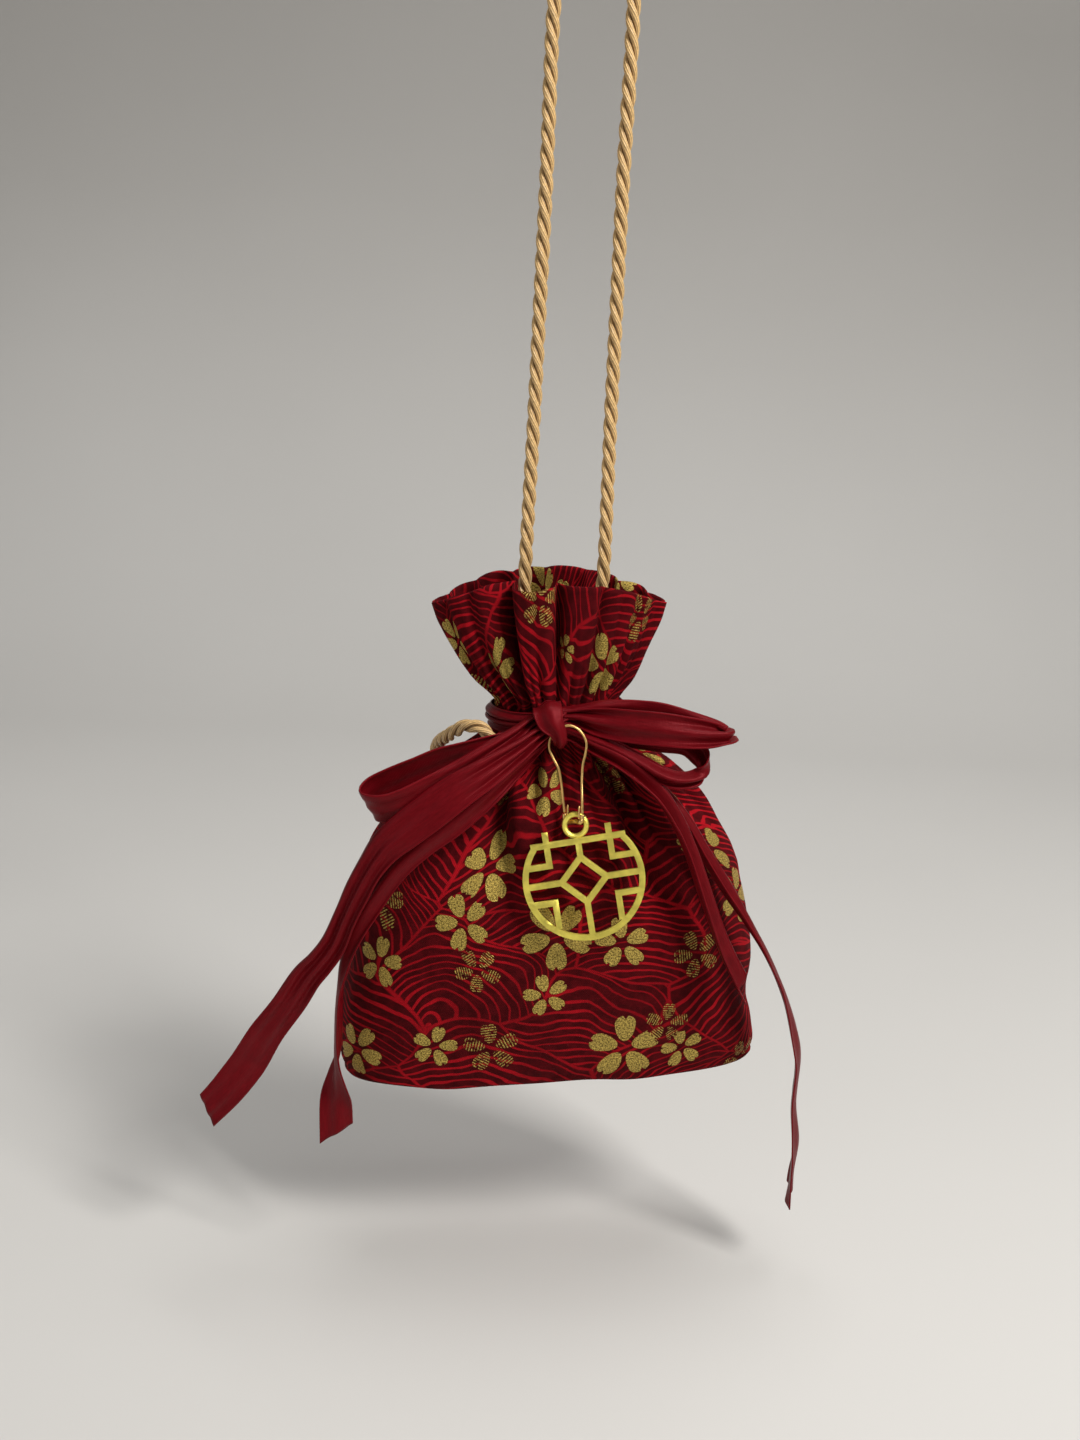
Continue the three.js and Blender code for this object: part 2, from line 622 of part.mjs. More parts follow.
const pinPlane = new THREE.Group();
pinPlane.position.set(...HINGE);
pinPlane.rotation.x = rad(PIN_LEAN) * -1;
pinPlane.add(
  named('pin_wire', makePinWire(), PIN_GOLD),
  named('pin_clasp', makePinClasp(), PIN_GOLD),
  named('pendant', makePendant(), PENDANT_GOLD),
);
inPouchAxes.add(pinPlane);

// The loop's top goes to the origin, and the turn makes the cord plumb
const loopTop = vec([LOOP_X, CORD_Y, LOOP_TOP + CORD_D / 2]);
const hung = new THREE.Group();
hung.rotation.y = -rad(HANG_TILT);
inPouchAxes.position.copy(loopTop).negate();
hung.add(inPouchAxes);

const drawstringPouch = new THREE.Group();
drawstringPouch.add(hung);

export default drawstringPouch;
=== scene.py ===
"""Makes the looks of a small drawstring pouch that hangs from its cord.

The pouch is laid out in millimetres in its own upright axes: +X to the right as seen from the bow
side, the bow on the -Y side and z = 0 at the base. to_frame() hangs all of it in the model's frame,
in metres, a few degrees askew with the top of the cord's loop at the origin.
"""
import math
import random

import bmesh
import bpy
import numpy as np
from mathutils import Matrix, Vector, noise


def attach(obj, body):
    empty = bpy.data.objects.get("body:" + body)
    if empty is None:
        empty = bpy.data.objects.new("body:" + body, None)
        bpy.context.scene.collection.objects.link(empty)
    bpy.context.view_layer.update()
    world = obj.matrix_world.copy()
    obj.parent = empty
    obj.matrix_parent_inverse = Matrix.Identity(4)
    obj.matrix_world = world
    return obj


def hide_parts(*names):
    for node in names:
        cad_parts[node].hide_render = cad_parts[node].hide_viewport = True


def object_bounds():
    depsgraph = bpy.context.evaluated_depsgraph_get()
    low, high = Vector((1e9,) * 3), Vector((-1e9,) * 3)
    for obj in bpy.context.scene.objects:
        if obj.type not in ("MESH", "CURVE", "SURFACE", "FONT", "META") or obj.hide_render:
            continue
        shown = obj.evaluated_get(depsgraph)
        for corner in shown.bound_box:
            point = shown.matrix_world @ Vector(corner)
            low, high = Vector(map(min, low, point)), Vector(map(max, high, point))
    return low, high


bl_info = {
    "name": "Drawstring pouch",
    "version": (1, 0, 0),
    "blender": (4, 5, 0),
    "location": "3D View > Sidebar > Pouch",
    "description": "Builds a printed drawstring pouch with its cord, ribbons, pin and pendant",
    "category": "Object",
}

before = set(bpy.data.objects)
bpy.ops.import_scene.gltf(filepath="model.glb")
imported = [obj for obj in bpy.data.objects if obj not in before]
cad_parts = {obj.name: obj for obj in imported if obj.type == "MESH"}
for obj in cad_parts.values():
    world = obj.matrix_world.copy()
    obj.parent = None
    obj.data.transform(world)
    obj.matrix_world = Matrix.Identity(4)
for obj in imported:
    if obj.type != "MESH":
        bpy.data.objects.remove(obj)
CAD_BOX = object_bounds()

MM = 0.001
HANG_TILT = math.radians(3.0)

# Driving sizes in pouch axes, in millimetres
NECK_LOW = 88.0
NECK_Z = 91.0
NECK_HIGH = 94.0
NECK_HALF_WIDTH = 16.2
NECK_HALF_LEFT = 14.8
NECK_HALF_DEPTH = 12.2
RIM_Z = 121.5
RIM_DROP = 5.5
FUNNEL_FLOOR = 96.0
BASE_TURN = 7.0                     # degrees by which the base is twisted against the neck
CORD_Y = -1.5
LOOP_X = 8.7
LOOP_RADIUS = 8.2
LOOP_LINE_TOP = 262.0               # the cord's centre line at the top of its loop
CORD_RADIUS = 1.65
LOOP_TOP = (LOOP_X, CORD_Y, LOOP_LINE_TOP + CORD_RADIUS)


def rotated(a, b, angle):
    """Two coordinates turned by an angle in radians."""
    return a * np.cos(angle) - b * np.sin(angle), a * np.sin(angle) + b * np.cos(angle)


def to_frame(points):
    """Pouch axes in millimetres to the model's frame in metres."""
    x, y, z = np.moveaxis((np.asarray(points, dtype=float) - LOOP_TOP) * MM, -1, 0)
    x, z = rotated(x, z, HANG_TILT)
    return np.stack([x, y, z], axis=-1)


TURN_TO_FRAME = Matrix.Rotation(-HANG_TILT, 3, "Y")


def smooth(x, low, high):
    """Soft step from 0 at low to 1 at high."""
    t = np.clip((np.asarray(x, dtype=float) - low) / (high - low), 0.0, 1.0)
    return t * t * (3.0 - 2.0 * t)


# Sizes and colours that a user may change

class ClothSettings(bpy.types.PropertyGroup):
    columns: bpy.props.IntProperty(
        name="Columns", description="Faces around the pouch", default=352, min=88, max=440)
    rim_wall: bpy.props.FloatProperty(
        name="Rim thickness", description="Turned-over cotton at the frill's rim", subtype="DISTANCE",
        unit="LENGTH", default=0.0011, min=0.0006, max=0.0015)
    ground: bpy.props.FloatVectorProperty(
        name="Ground", description="Dark ground of the print", subtype="COLOR",
        default=(0.046, 0.0011, 0.0022), min=0.0, max=1.0)
    wave: bpy.props.FloatVectorProperty(
        name="Waves", description="Printed wave lines", subtype="COLOR",
        default=(0.31, 0.0040, 0.0090), min=0.0, max=1.0)
    blossom: bpy.props.FloatVectorProperty(
        name="Blossoms", description="Gold glitter of the blossoms", subtype="COLOR",
        default=(0.35, 0.25, 0.058), min=0.0, max=1.0)
    wave_pitch: bpy.props.FloatProperty(
        name="Wave pitch", description="Distance between two wave lines", subtype="DISTANCE",
        unit="LENGTH", default=0.0021, min=0.001, max=0.006)


class CordSettings(bpy.types.PropertyGroup):
    diameter: bpy.props.FloatProperty(
        name="Diameter", description="Across the twisted cord", subtype="DISTANCE", unit="LENGTH",
        default=0.0033, min=0.002, max=0.005)
    lay: bpy.props.FloatProperty(
        name="Lay", description="Length of one full twist", subtype="DISTANCE", unit="LENGTH",
        default=0.0138, min=0.006, max=0.03)
    colour: bpy.props.FloatVectorProperty(
        name="Colour", description="Pale gold yarn", subtype="COLOR",
        default=(0.72, 0.46, 0.19), min=0.0, max=1.0)


class RibbonSettings(bpy.types.PropertyGroup):
    width: bpy.props.FloatProperty(
        name="Width", description="Satin ribbon's width", subtype="DISTANCE", unit="LENGTH",
        default=0.010, min=0.006, max=0.012)
    thickness: bpy.props.FloatProperty(
        name="Thickness", description="Satin ribbon's thickness", subtype="DISTANCE", unit="LENGTH",
        default=0.00034, min=0.0002, max=0.0006)
    colour: bpy.props.FloatVectorProperty(
        name="Colour", description="Deep red satin", subtype="COLOR",
        default=(0.108, 0.0020, 0.0044), min=0.0, max=1.0)


class MetalSettings(bpy.types.PropertyGroup):
    wire: bpy.props.FloatProperty(
        name="Wire", description="Diameter of the pin's wire", subtype="DISTANCE", unit="LENGTH",
        default=0.00062, min=0.0004, max=0.001)
    edge: bpy.props.FloatProperty(
        name="Edge", description="Width of the pendant's bright rounded edges", subtype="DISTANCE",
        unit="LENGTH", default=0.00022, min=0.00005, max=0.0004)
    pin_colour: bpy.props.FloatVectorProperty(
        name="Pin", description="Polished gold wire", subtype="COLOR",
        default=(0.82, 0.52, 0.18), min=0.0, max=1.0)
    pendant_colour: bpy.props.FloatVectorProperty(
        name="Pendant", description="Satin gold plating", subtype="COLOR",
        default=(0.94, 0.79, 0.14), min=0.0, max=1.0)


# Meshes

def add_object(name, data):
    """An object for some data, linked into the scene."""
    made = bpy.data.objects.new(name, data)
    bpy.context.scene.collection.objects.link(made)
    return made


def new_piece(name, verts, faces, material):
    """A smooth-shaded mesh object from vertices already in the model's frame."""
    mesh = bpy.data.meshes.new(name)
    mesh.from_pydata([tuple(v) for v in verts], [], [tuple(f) for f in faces])
    mesh.update()
    mesh.polygons.foreach_set("use_smooth", [True] * len(mesh.polygons))
    mesh.materials.append(material)
    return add_object(name, mesh)


def grid_faces(rows, columns, closed):
    """Quads of a grid of rows by columns, closed around the columns or not, and their corners' places."""
    r = np.arange(rows - 1)[:, None]
    c = np.arange(columns if closed else columns - 1)[None, :]
    r, c = (a.ravel() for a in np.broadcast_arrays(r, c))
    row = np.stack([r, r, r + 1, r + 1], axis=1)
    column = np.stack([c, c + 1, c + 1, c], axis=1)
    return row * columns + column % columns, row, column


def set_uv(mesh, name, values):
    layer = mesh.uv_layers.new(name=name)
    layer.data.foreach_set("uv", np.asarray(values, dtype=np.float32).ravel())


def close_ends(piece):
    """Fills a piece's open ends and turns all its faces outwards."""
    work = bmesh.new()
    work.from_mesh(piece.data)
    bmesh.ops.holes_fill(work, edges=[e for e in work.edges if e.is_boundary], sides=0)
    bmesh.ops.recalc_face_normals(work, faces=work.faces)
    work.to_mesh(piece.data)
    work.free()


def apply_modifiers(piece):
    """Turns a piece's modifiers into its mesh."""
    shape = piece.evaluated_get(bpy.context.evaluated_depsgraph_get())
    mesh = bpy.data.meshes.new_from_object(shape)
    old = piece.data
    piece.modifiers.clear()
    piece.data = mesh
    mesh.name = piece.name
    bpy.data.meshes.remove(old)


def join_to(piece, others):
    """Joins further objects into a piece."""
    with bpy.context.temp_override(active_object=piece, selected_editable_objects=[piece, *others]):
        bpy.ops.object.join()


# Lines

def between(t, low, high, a, b):
    """The value at t on a straight line from a at low to b at high."""
    return (high - t) / (high - low) * a + (t - low) / (high - low) * b


def through(points, steps):
    """Smooth curve through points, as a Catmull-Rom spline with centripetal spacing."""
    p = np.asarray(points, dtype=float)
    p = np.vstack([2 * p[0] - p[1], p, 2 * p[-1] - p[-2]])
    gaps = np.maximum(np.linalg.norm(np.diff(p[:, :3], axis=0), axis=1), 1e-6)
    knots = np.concatenate([[0], np.cumsum(gaps ** 0.5)])
    curve = []
    for t in np.linspace(knots[1], knots[-2] - 1e-9, steps):
        k = min(max(int(np.searchsorted(knots, t, side="right")) - 1, 1), len(p) - 3)
        t0, t1, t2, t3 = knots[k - 1:k + 3]
        a1 = between(t, t0, t1, p[k - 1], p[k])
        a2 = between(t, t1, t2, p[k], p[k + 1])
        a3 = between(t, t2, t3, p[k + 1], p[k + 2])
        curve.append(between(t, t1, t2, between(t, t0, t2, a1, a2), between(t, t1, t3, a2, a3)))
    return np.array(curve)


def lengths_along(points):
    return np.concatenate([[0], np.cumsum(np.linalg.norm(np.diff(points, axis=0), axis=1))])


def even(points, spacing):
    """The same line with evenly spaced points."""
    at = lengths_along(points)
    count = max(int(round(at[-1] / spacing)) + 1, 4)
    want = np.linspace(0, at[-1], count)
    return np.stack([np.interp(want, at, points[:, k]) for k in range(points.shape[1])], axis=1)


def unit(v):
    return v / np.maximum(np.linalg.norm(v, axis=-1, keepdims=True), 1e-12)


def normals_along(path):
    """Two normals at each point of a path, which turn as little as possible along it."""
    tangent = unit(np.gradient(path, axis=0))
    side = np.array([0.0, -1.0, 0.0])
    normals = []
    for t in tangent:
        side = side - t * side.dot(t)
        side = side / max(np.linalg.norm(side), 1e-9)
        normals.append(side)
    normals = np.array(normals)
    return normals, np.cross(tangent, normals)


def rings_round(path, radius, sides):
    """Points of a round bar: a ring of them about each point of its path."""
    normal, binormal = normals_along(path)
    turn = np.linspace(0, 2 * math.pi, sides, endpoint=False)[:, None]
    return path[:, None] + radius * (np.cos(turn) * normal[:, None] + np.sin(turn) * binormal[:, None])


# Materials

class Shader:
    """Short names for building a node tree."""

    def __init__(self, name):
        self.material = bpy.data.materials.new(name)
        self.material.use_nodes = True
        self.tree = self.material.node_tree
        self.surface = self.tree.nodes["Principled BSDF"]

    def feed(self, socket, value):
        if isinstance(value, bpy.types.NodeSocket):
            self.tree.links.new(value, socket)
        else:
            socket.default_value = value

    def node(self, kind, settings=None, **inputs):
        made = self.tree.nodes.new(kind)
        for key, value in (settings or {}).items():
            setattr(made, key, value)
        for key, value in inputs.items():
            self.feed(made.inputs[key.replace("_", " ")], value)
        return made

    def work_out(self, kind, operation, values):
        made = self.node(kind, {"operation": operation})
        for socket, value in zip(made.inputs, values):
            self.feed(socket, value)
        return made.outputs

    def math(self, operation, *values):
        return self.work_out("ShaderNodeMath", operation, values)[0]

    def add(self, a, b):
        return self.math("ADD", a, b)

    def minus(self, a, b):
        return self.math("SUBTRACT", a, b)

    def times(self, a, b):
        return self.math("MULTIPLY", a, b)

    def vector(self, operation, *values):
        outputs = self.work_out("ShaderNodeVectorMath", operation, values)
        return outputs["Value" if operation == "LENGTH" else "Vector"]

    def split(self, vector):
        """The vector's three parts."""
        return self.node("ShaderNodeSeparateXYZ", Vector=vector).outputs[:]

    def ramp(self, value, low, high, to_low=0.0, to_high=1.0):
        """A soft step from to_low, at low and below it, to to_high."""
        made = self.node("ShaderNodeMapRange", {"interpolation_type": "SMOOTHSTEP"}, Value=value,
                         From_Min=low, From_Max=high, To_Min=to_low, To_Max=to_high)
        return made.outputs[0]

    def mix(self, share, a, b):
        made = self.node("ShaderNodeMix", {"data_type": "RGBA"})
        for index, value in ((0, share), (6, a), (7, b)):
            self.feed(made.inputs[index], value)
        return made.outputs[2]

    def noise(self, vector, scale, detail=2.0, rough=0.5):
        made = self.node("ShaderNodeTexNoise", Vector=vector, Scale=scale, Detail=detail, Roughness=rough)
        return made.outputs["Fac"]

    def uv(self, name):
        return self.node("ShaderNodeUVMap", {"uv_map": name}).outputs[0]

    def place(self):
        """The point on the piece, in millimetres, fixed to the piece."""
        at = self.node("ShaderNodeTexCoord").outputs["Object"]
        return self.vector("MULTIPLY", at, (1 / MM, 1 / MM, 1 / MM))

    def bump(self, height, strength, depth):
        """Relief of a depth in millimetres."""
        made = self.node("ShaderNodeBump", Height=height, Strength=strength, Distance=depth * MM)
        self.set(Normal=made.outputs[0])

    def set(self, **inputs):
        for key, value in inputs.items():
            self.feed(self.surface.inputs[key.replace("_", " ")], value)
        return self.material


def tint(colour, factor=1.0):
    """A colour with its alpha, made darker or lighter."""
    return (*[min(c * factor, 1.0) for c in colour], 1.0)


# Sizes of prints and threads, in millimetres
PRINT_MM = 100.0                    # the UV layers hold millimetres divided by this
FAN = (30.0, 19.0, 0.0)             # width and height of one fan of wave lines
THREAD_PITCH = 0.46
RIB_PITCH = 0.34
YARN_PITCH = 2.2
YARN_SLANT = 9.0
PETALS = 5


def wave_lines(s, flat, broad, pitch):
    """Red lines in fans: in each irregular cell, arcs about a centre well below it, so that they lie
    nearly level, bow upwards and meet their neighbours in a V."""
    drift = s.node("ShaderNodeTexNoise", Vector=flat, Scale=0.028, Detail=1.5).outputs["Color"]
    drift = s.vector("MULTIPLY", s.vector("SUBTRACT", drift, (0.5, 0.5, 0.5)), (30.0, 26.0, 0.0))
    cells = s.vector("MULTIPLY", s.vector("ADD", flat, drift), (1 / FAN[0], 1 / FAN[1], 0.0))
    kind = {"voronoi_dimensions": "2D"}
    nearest = s.node("ShaderNodeTexVoronoi", kind, Vector=cells, Scale=1.0).outputs
    kind["feature"] = "DISTANCE_TO_EDGE"
    border = s.node("ShaderNodeTexVoronoi", kind, Vector=cells, Scale=1.0).outputs["Distance"]
    toss = s.vector("SUBTRACT", nearest["Color"], (0.5, 1.25, 0.5))
    centre = s.vector("ADD", nearest["Position"], s.vector("MULTIPLY", toss, (1.1, 1.9, 0.0)))
    away = s.vector("LENGTH", s.vector("MULTIPLY", s.vector("SUBTRACT", cells, centre), FAN))
    phase = s.add(s.math("DIVIDE", away, pitch), s.times(s.noise(flat, 0.12, 1.5), 1.3))
    saw = s.math("ABSOLUTE", s.minus(s.math("FRACT", phase), 0.5))
    width = s.ramp(broad, 0.3, 0.7, 0.36, 0.28)
    line = s.ramp(saw, width, s.add(width, 0.1))
    seam = s.ramp(border, 0.006, 0.024, 1.0, 0.0)
    # Painted highlight: along the base fold the lines' red covers the ground, standing in for the light
    # that the fold catches.
    base_fold_highlight = s.ramp(s.split(flat)[1], 0.4, 1.6, 0.85, 0.0)
    return s.math("MAXIMUM", s.math("MAXIMUM", line, seam), base_fold_highlight)


def blossoms(s, flat):
    """Notched petals round the centre of the nearest blossom: their gold, and a halo about them."""
    x, y, _ = s.split(s.uv("blossom"))
    hatching = s.split(s.uv("blossom_kind"))[0]
    radius = s.math("SQRT", s.add(s.times(x, x), s.times(y, y)))
    turn = s.math("WRAP", s.math("ARCTAN2", y, x), math.pi / PETALS, -math.pi / PETALS)
    along = s.times(radius, s.math("COSINE", turn))
    across = s.math("ABSOLUTE", s.times(radius, s.math("SINE", turn)))
    half = s.math("MULTIPLY_ADD", along, 0.19, 0.155)
    lengthwise = s.math("ABSOLUTE", s.math("DIVIDE", s.minus(along, 0.6), 0.4))
    egg = s.add(s.math("POWER", lengthwise, 2.4), s.math("POWER", s.math("DIVIDE", across, half), 2.2))
    egg = s.add(egg, s.times(s.minus(s.noise(flat, 1.1), 0.5), 0.09))
    notch = s.minus(across, s.times(s.minus(along, 0.89), 0.6))
    petal = s.times(s.ramp(egg, 0.9, 1.0, 1.0, 0.0), s.ramp(notch, 0.0, 0.02))
    dashes = s.ramp(s.math("SINE", s.times(along, 62.0)), -0.15, 0.25)
    hatched = s.times(s.times(petal, dashes), s.ramp(s.noise(flat, 0.9), 0.36, 0.5))
    gold = s.add(s.times(petal, s.minus(1.0, hatching)), s.times(hatched, hatching))
    return gold, s.ramp(egg, 1.0, 1.7, 1.0, 0.0)


def printed_cotton(settings):
    """Dark cotton with red wave lines in fans and gold glitter blossoms."""
    s = Shader("printed_cotton")
    flat = s.vector("MULTIPLY", s.uv("cloth"), (PRINT_MM, PRINT_MM, 0.0))
    broad = s.noise(flat, 0.06, 1.0)
    waves = wave_lines(s, flat, broad, settings.wave_pitch / MM)
    gold, halo = blossoms(s, flat)
    glitter = s.noise(flat, 2.6, 2.0, 0.75)
    worn = s.ramp(s.noise(flat, 0.35), 0.35, 0.65)

    # Plain weave: threads both ways, seen as fine rows of dots
    x, y, _ = s.split(flat)
    warp, weft = (s.math("SINE", s.times(side, 2 * math.pi / THREAD_PITCH)) for side in (x, y))
    weave = s.times(warp, weft)
    slub = s.noise(s.vector("MULTIPLY", flat, (0.5, 2.6, 1.0)), 0.9, 3.0, 0.6)

    ground = s.mix(worn, tint(settings.ground), tint(settings.ground, 1.6))
    red = s.mix(s.ramp(broad, 0.35, 0.68), tint(settings.wave, 0.72), tint(settings.wave, 1.2))
    gilt = s.mix(s.ramp(glitter, 0.34, 0.66), tint(settings.blossom, 0.25), tint(settings.blossom, 1.8))
    colour = s.mix(s.times(waves, 0.95), ground, red)
    colour = s.mix(s.times(halo, 0.35), colour, ground)
    colour = s.mix(gold, colour, gilt)
    shade = s.add(s.times(s.minus(slub, 0.5), 0.5), s.times(weave, 0.2))
    shaded = s.node("ShaderNodeVectorMath", {"operation": "SCALE"}, Vector=colour, Scale=s.add(1.0, shade))
    rough = s.minus(s.ramp(gold, 0.0, 1.0, 0.9, 0.5), s.times(s.times(gold, glitter), 0.3))
    relief = s.add(slub, s.times(gold, s.add(glitter, 0.6)))
    s.bump(s.add(s.times(weave, 0.6), relief), 0.6, 0.13)
    s.set(Base_Color=shaded.outputs[0], Roughness=rough, Metallic=s.times(gold, 0.4))
    return s.set(Specular_IOR_Level=0.12, Specular_Tint=(1.0, 0.6, 0.6, 1.0))


def satin(settings):
    """Ribbon satin: fine ribs across it, a soft sheen and a raised selvedge at both edges."""
    s = Shader("satin_ribbon")
    flat = s.vector("MULTIPLY", s.uv("ribbon"), (PRINT_MM, PRINT_MM, 0.0))
    across, along, _ = s.split(flat)
    edge = s.minus(settings.width / MM / 2, s.math("ABSOLUTE", across))
    # Painted light at the edges: the raised selvedge is drawn lighter, a painted highlight, and the band
    # just inside it darker, painted shade in the groove beside it.
    selvedge = s.ramp(edge, 0.3, 0.55, 1.0, 0.0)
    groove_shade = s.times(s.ramp(edge, 0.5, 0.65), s.ramp(edge, 0.7, 0.9, 1.0, 0.0))
    ribs = s.math("SINE", s.times(along, 2 * math.pi / RIB_PITCH))
    streak = s.noise(s.vector("MULTIPLY", flat, (3.2, 0.35, 1.0)), 1.0, 3.0, 0.6)
    cloudy = s.ramp(s.noise(s.place(), 0.09), 0.35, 0.7, 0.0, 0.25)
    colour = s.mix(s.ramp(streak, 0.3, 0.7), tint(settings.colour, 0.76), tint(settings.colour, 1.16))
    # Painted highlight on the selvedge, painted shade in the groove inside it, and lighter clouds at
    # random.
    for share, factor in ((s.times(selvedge, 0.35), 1.5), (s.times(groove_shade, 0.3), 0.4), (cloudy, 1.6)):
        colour = s.mix(share, colour, tint(settings.colour, factor))
    s.bump(s.add(s.times(selvedge, 1.5), s.add(s.times(ribs, 0.22), streak)), 0.4, 0.12)
    s.set(Base_Color=colour, Roughness=s.ramp(streak, 0.2, 0.8, 0.33, 0.46))
    return s.set(Specular_IOR_Level=0.34, Specular_Tint=(1.0, 0.18, 0.2, 1.0))


def cord_yarn(settings):
    """Lustrous yarn, each ply a bundle of fine threads that slant across it."""
    s = Shader("gold_cord")
    around, along, _ = s.split(s.uv("yarn"))
    slant = s.add(s.times(around, YARN_SLANT), s.times(along, PRINT_MM / YARN_PITCH))
    threads = s.math("SINE", s.times(slant, 2 * math.pi))
    fuzz = s.noise(s.place(), 1.3, 3.0, 0.65)
    broad = s.noise(s.place(), 0.12, 1.0)
    # Painted shade: where the plies turn towards the cord's middle, in the grooves between them, the yarn
    # is darkened towards deep brown.
    groove_shade = s.ramp(s.split(s.uv("groove_shade"))[0], 0.5, 0.9, 0.8, 0.0)
    tone = s.ramp(s.add(s.times(threads, 0.22), fuzz), 0.25, 0.8)
    colour = s.mix(tone, tint(settings.colour, 0.62), tint(settings.colour, 1.18))
    colour = s.mix(s.ramp(broad, 0.35, 0.7, 0.0, 0.25), colour, tint(settings.colour, 0.8))
    colour = s.mix(groove_shade, colour, tint([c * f for c, f in zip(settings.colour, (0.3, 0.22, 0.14))]))
    s.bump(s.add(threads, fuzz), 0.5, 0.1)
    s.set(Base_Color=colour, Roughness=s.ramp(fuzz, 0.3, 0.7, 0.38, 0.55))
    return s.set(Sheen_Weight=0.25, Sheen_Roughness=0.4, Sheen_Tint=(1.0, 0.85, 0.6, 1.0))


def polished_gold(settings):
    """Gold-coloured wire, drawn and polished, with faint marks along it."""
    s = Shader("pin_gold")
    marks = s.noise(s.place(), 1.6, 4.0, 0.6)
    tone = s.ramp(s.noise(s.place(), 0.35), 0.3, 0.7)
    s.bump(marks, 0.1, 0.05)
    s.set(Base_Color=s.mix(tone, tint(settings.pin_colour), tint(settings.pin_colour, 0.86)))
    return s.set(Roughness=s.ramp(marks, 0.3, 0.7, 0.28, 0.42), Metallic=1.0)


def satin_gold(settings, name, bright, smoothest, roughest):
    """Plated casting: a grained face, or the same gold burnished at the edges; there bright makes the
    colour lighter, a painted highlight.
    """
    s = Shader(name)
    grain = s.noise(s.place(), 2.6, 4.0, 0.7)
    blot = s.ramp(s.noise(s.place(), 0.3), 0.3, 0.7)
    base = tint(settings.pendant_colour, bright)
    s.bump(grain, 0.35 * roughest, 0.1)
    s.set(Base_Color=s.mix(blot, base, tint(base[:3], 0.72)))
    return s.set(Roughness=s.ramp(grain, 0.3, 0.7, smoothest, roughest), Metallic=0.78)


def stage_paper():
    """Plain grey paper, darker towards the top."""
    s = Shader("stage_paper")
    height = s.ramp(s.split(s.place())[2], -350.0, 250.0)
    tone = s.add(height, s.times(s.noise(s.place(), 0.004), 0.2))
    s.set(Base_Color=s.mix(tone, (0.62, 0.605, 0.58, 1.0), (0.36, 0.345, 0.325, 1.0)), Roughness=0.9)
    return s.set(Specular_IOR_Level=0.2)


# Pouch cloth, in millimetres

# Outline at each height: z, half width left, half width right, half depth, squareness
BODY_LEVELS = [
    (0.0, 46.0, 44.5, 12.5, 2.8),
    (0.6, 49.5, 48.0, 14.8, 2.8),
    (3.2, 52.0, 50.3, 17.0, 2.8),
    (9.0, 52.8, 50.6, 19.0, 2.7),
    (17.0, 52.6, 48.6, 21.0, 2.6),
    (27.0, 51.6, 49.2, 22.6, 2.5),
    (37.0, 50.0, 48.0, 23.6, 2.4),
    (46.0, 48.0, 46.4, 24.0, 2.3),
    (54.0, 46.0, 44.8, 23.8, 2.3),
    (61.0, 43.0, 42.4, 23.0, 2.2),
    (67.0, 39.4, 39.8, 21.8, 2.2),
    (72.0, 35.6, 36.4, 20.4, 2.1),
    (76.5, 30.8, 31.6, 18.6, 2.1),
    (80.5, 25.0, 26.0, 16.6, 2.0),
    (84.0, 19.6, 21.0, 14.6, 2.0),
    (87.4, 15.3, 17.0, 12.8, 2.0),
    (NECK_LOW, NECK_HALF_LEFT, NECK_HALF_WIDTH, NECK_HALF_DEPTH, 2.0),
    (NECK_HIGH, NECK_HALF_LEFT, NECK_HALF_WIDTH, NECK_HALF_DEPTH, 2.0),
]

# The frill, by its share of the height from neck to rim
FRILL_LEVELS = [
    (0.0, NECK_HALF_LEFT, NECK_HALF_WIDTH, NECK_HALF_DEPTH, 2.0),
    (0.06, 16.1, 17.2, 12.1, 2.0),
    (0.17, 19.1, 19.4, 11.9, 1.9),
    (0.32, 21.7, 21.4, 11.9, 1.85),
    (0.48, 23.9, 23.0, 12.1, 1.8),
    (0.64, 26.0, 24.7, 12.5, 1.75),
    (0.82, 28.2, 26.6, 12.9, 1.7),
    (1.0, 29.6, 27.8, 13.3, 1.7),
]

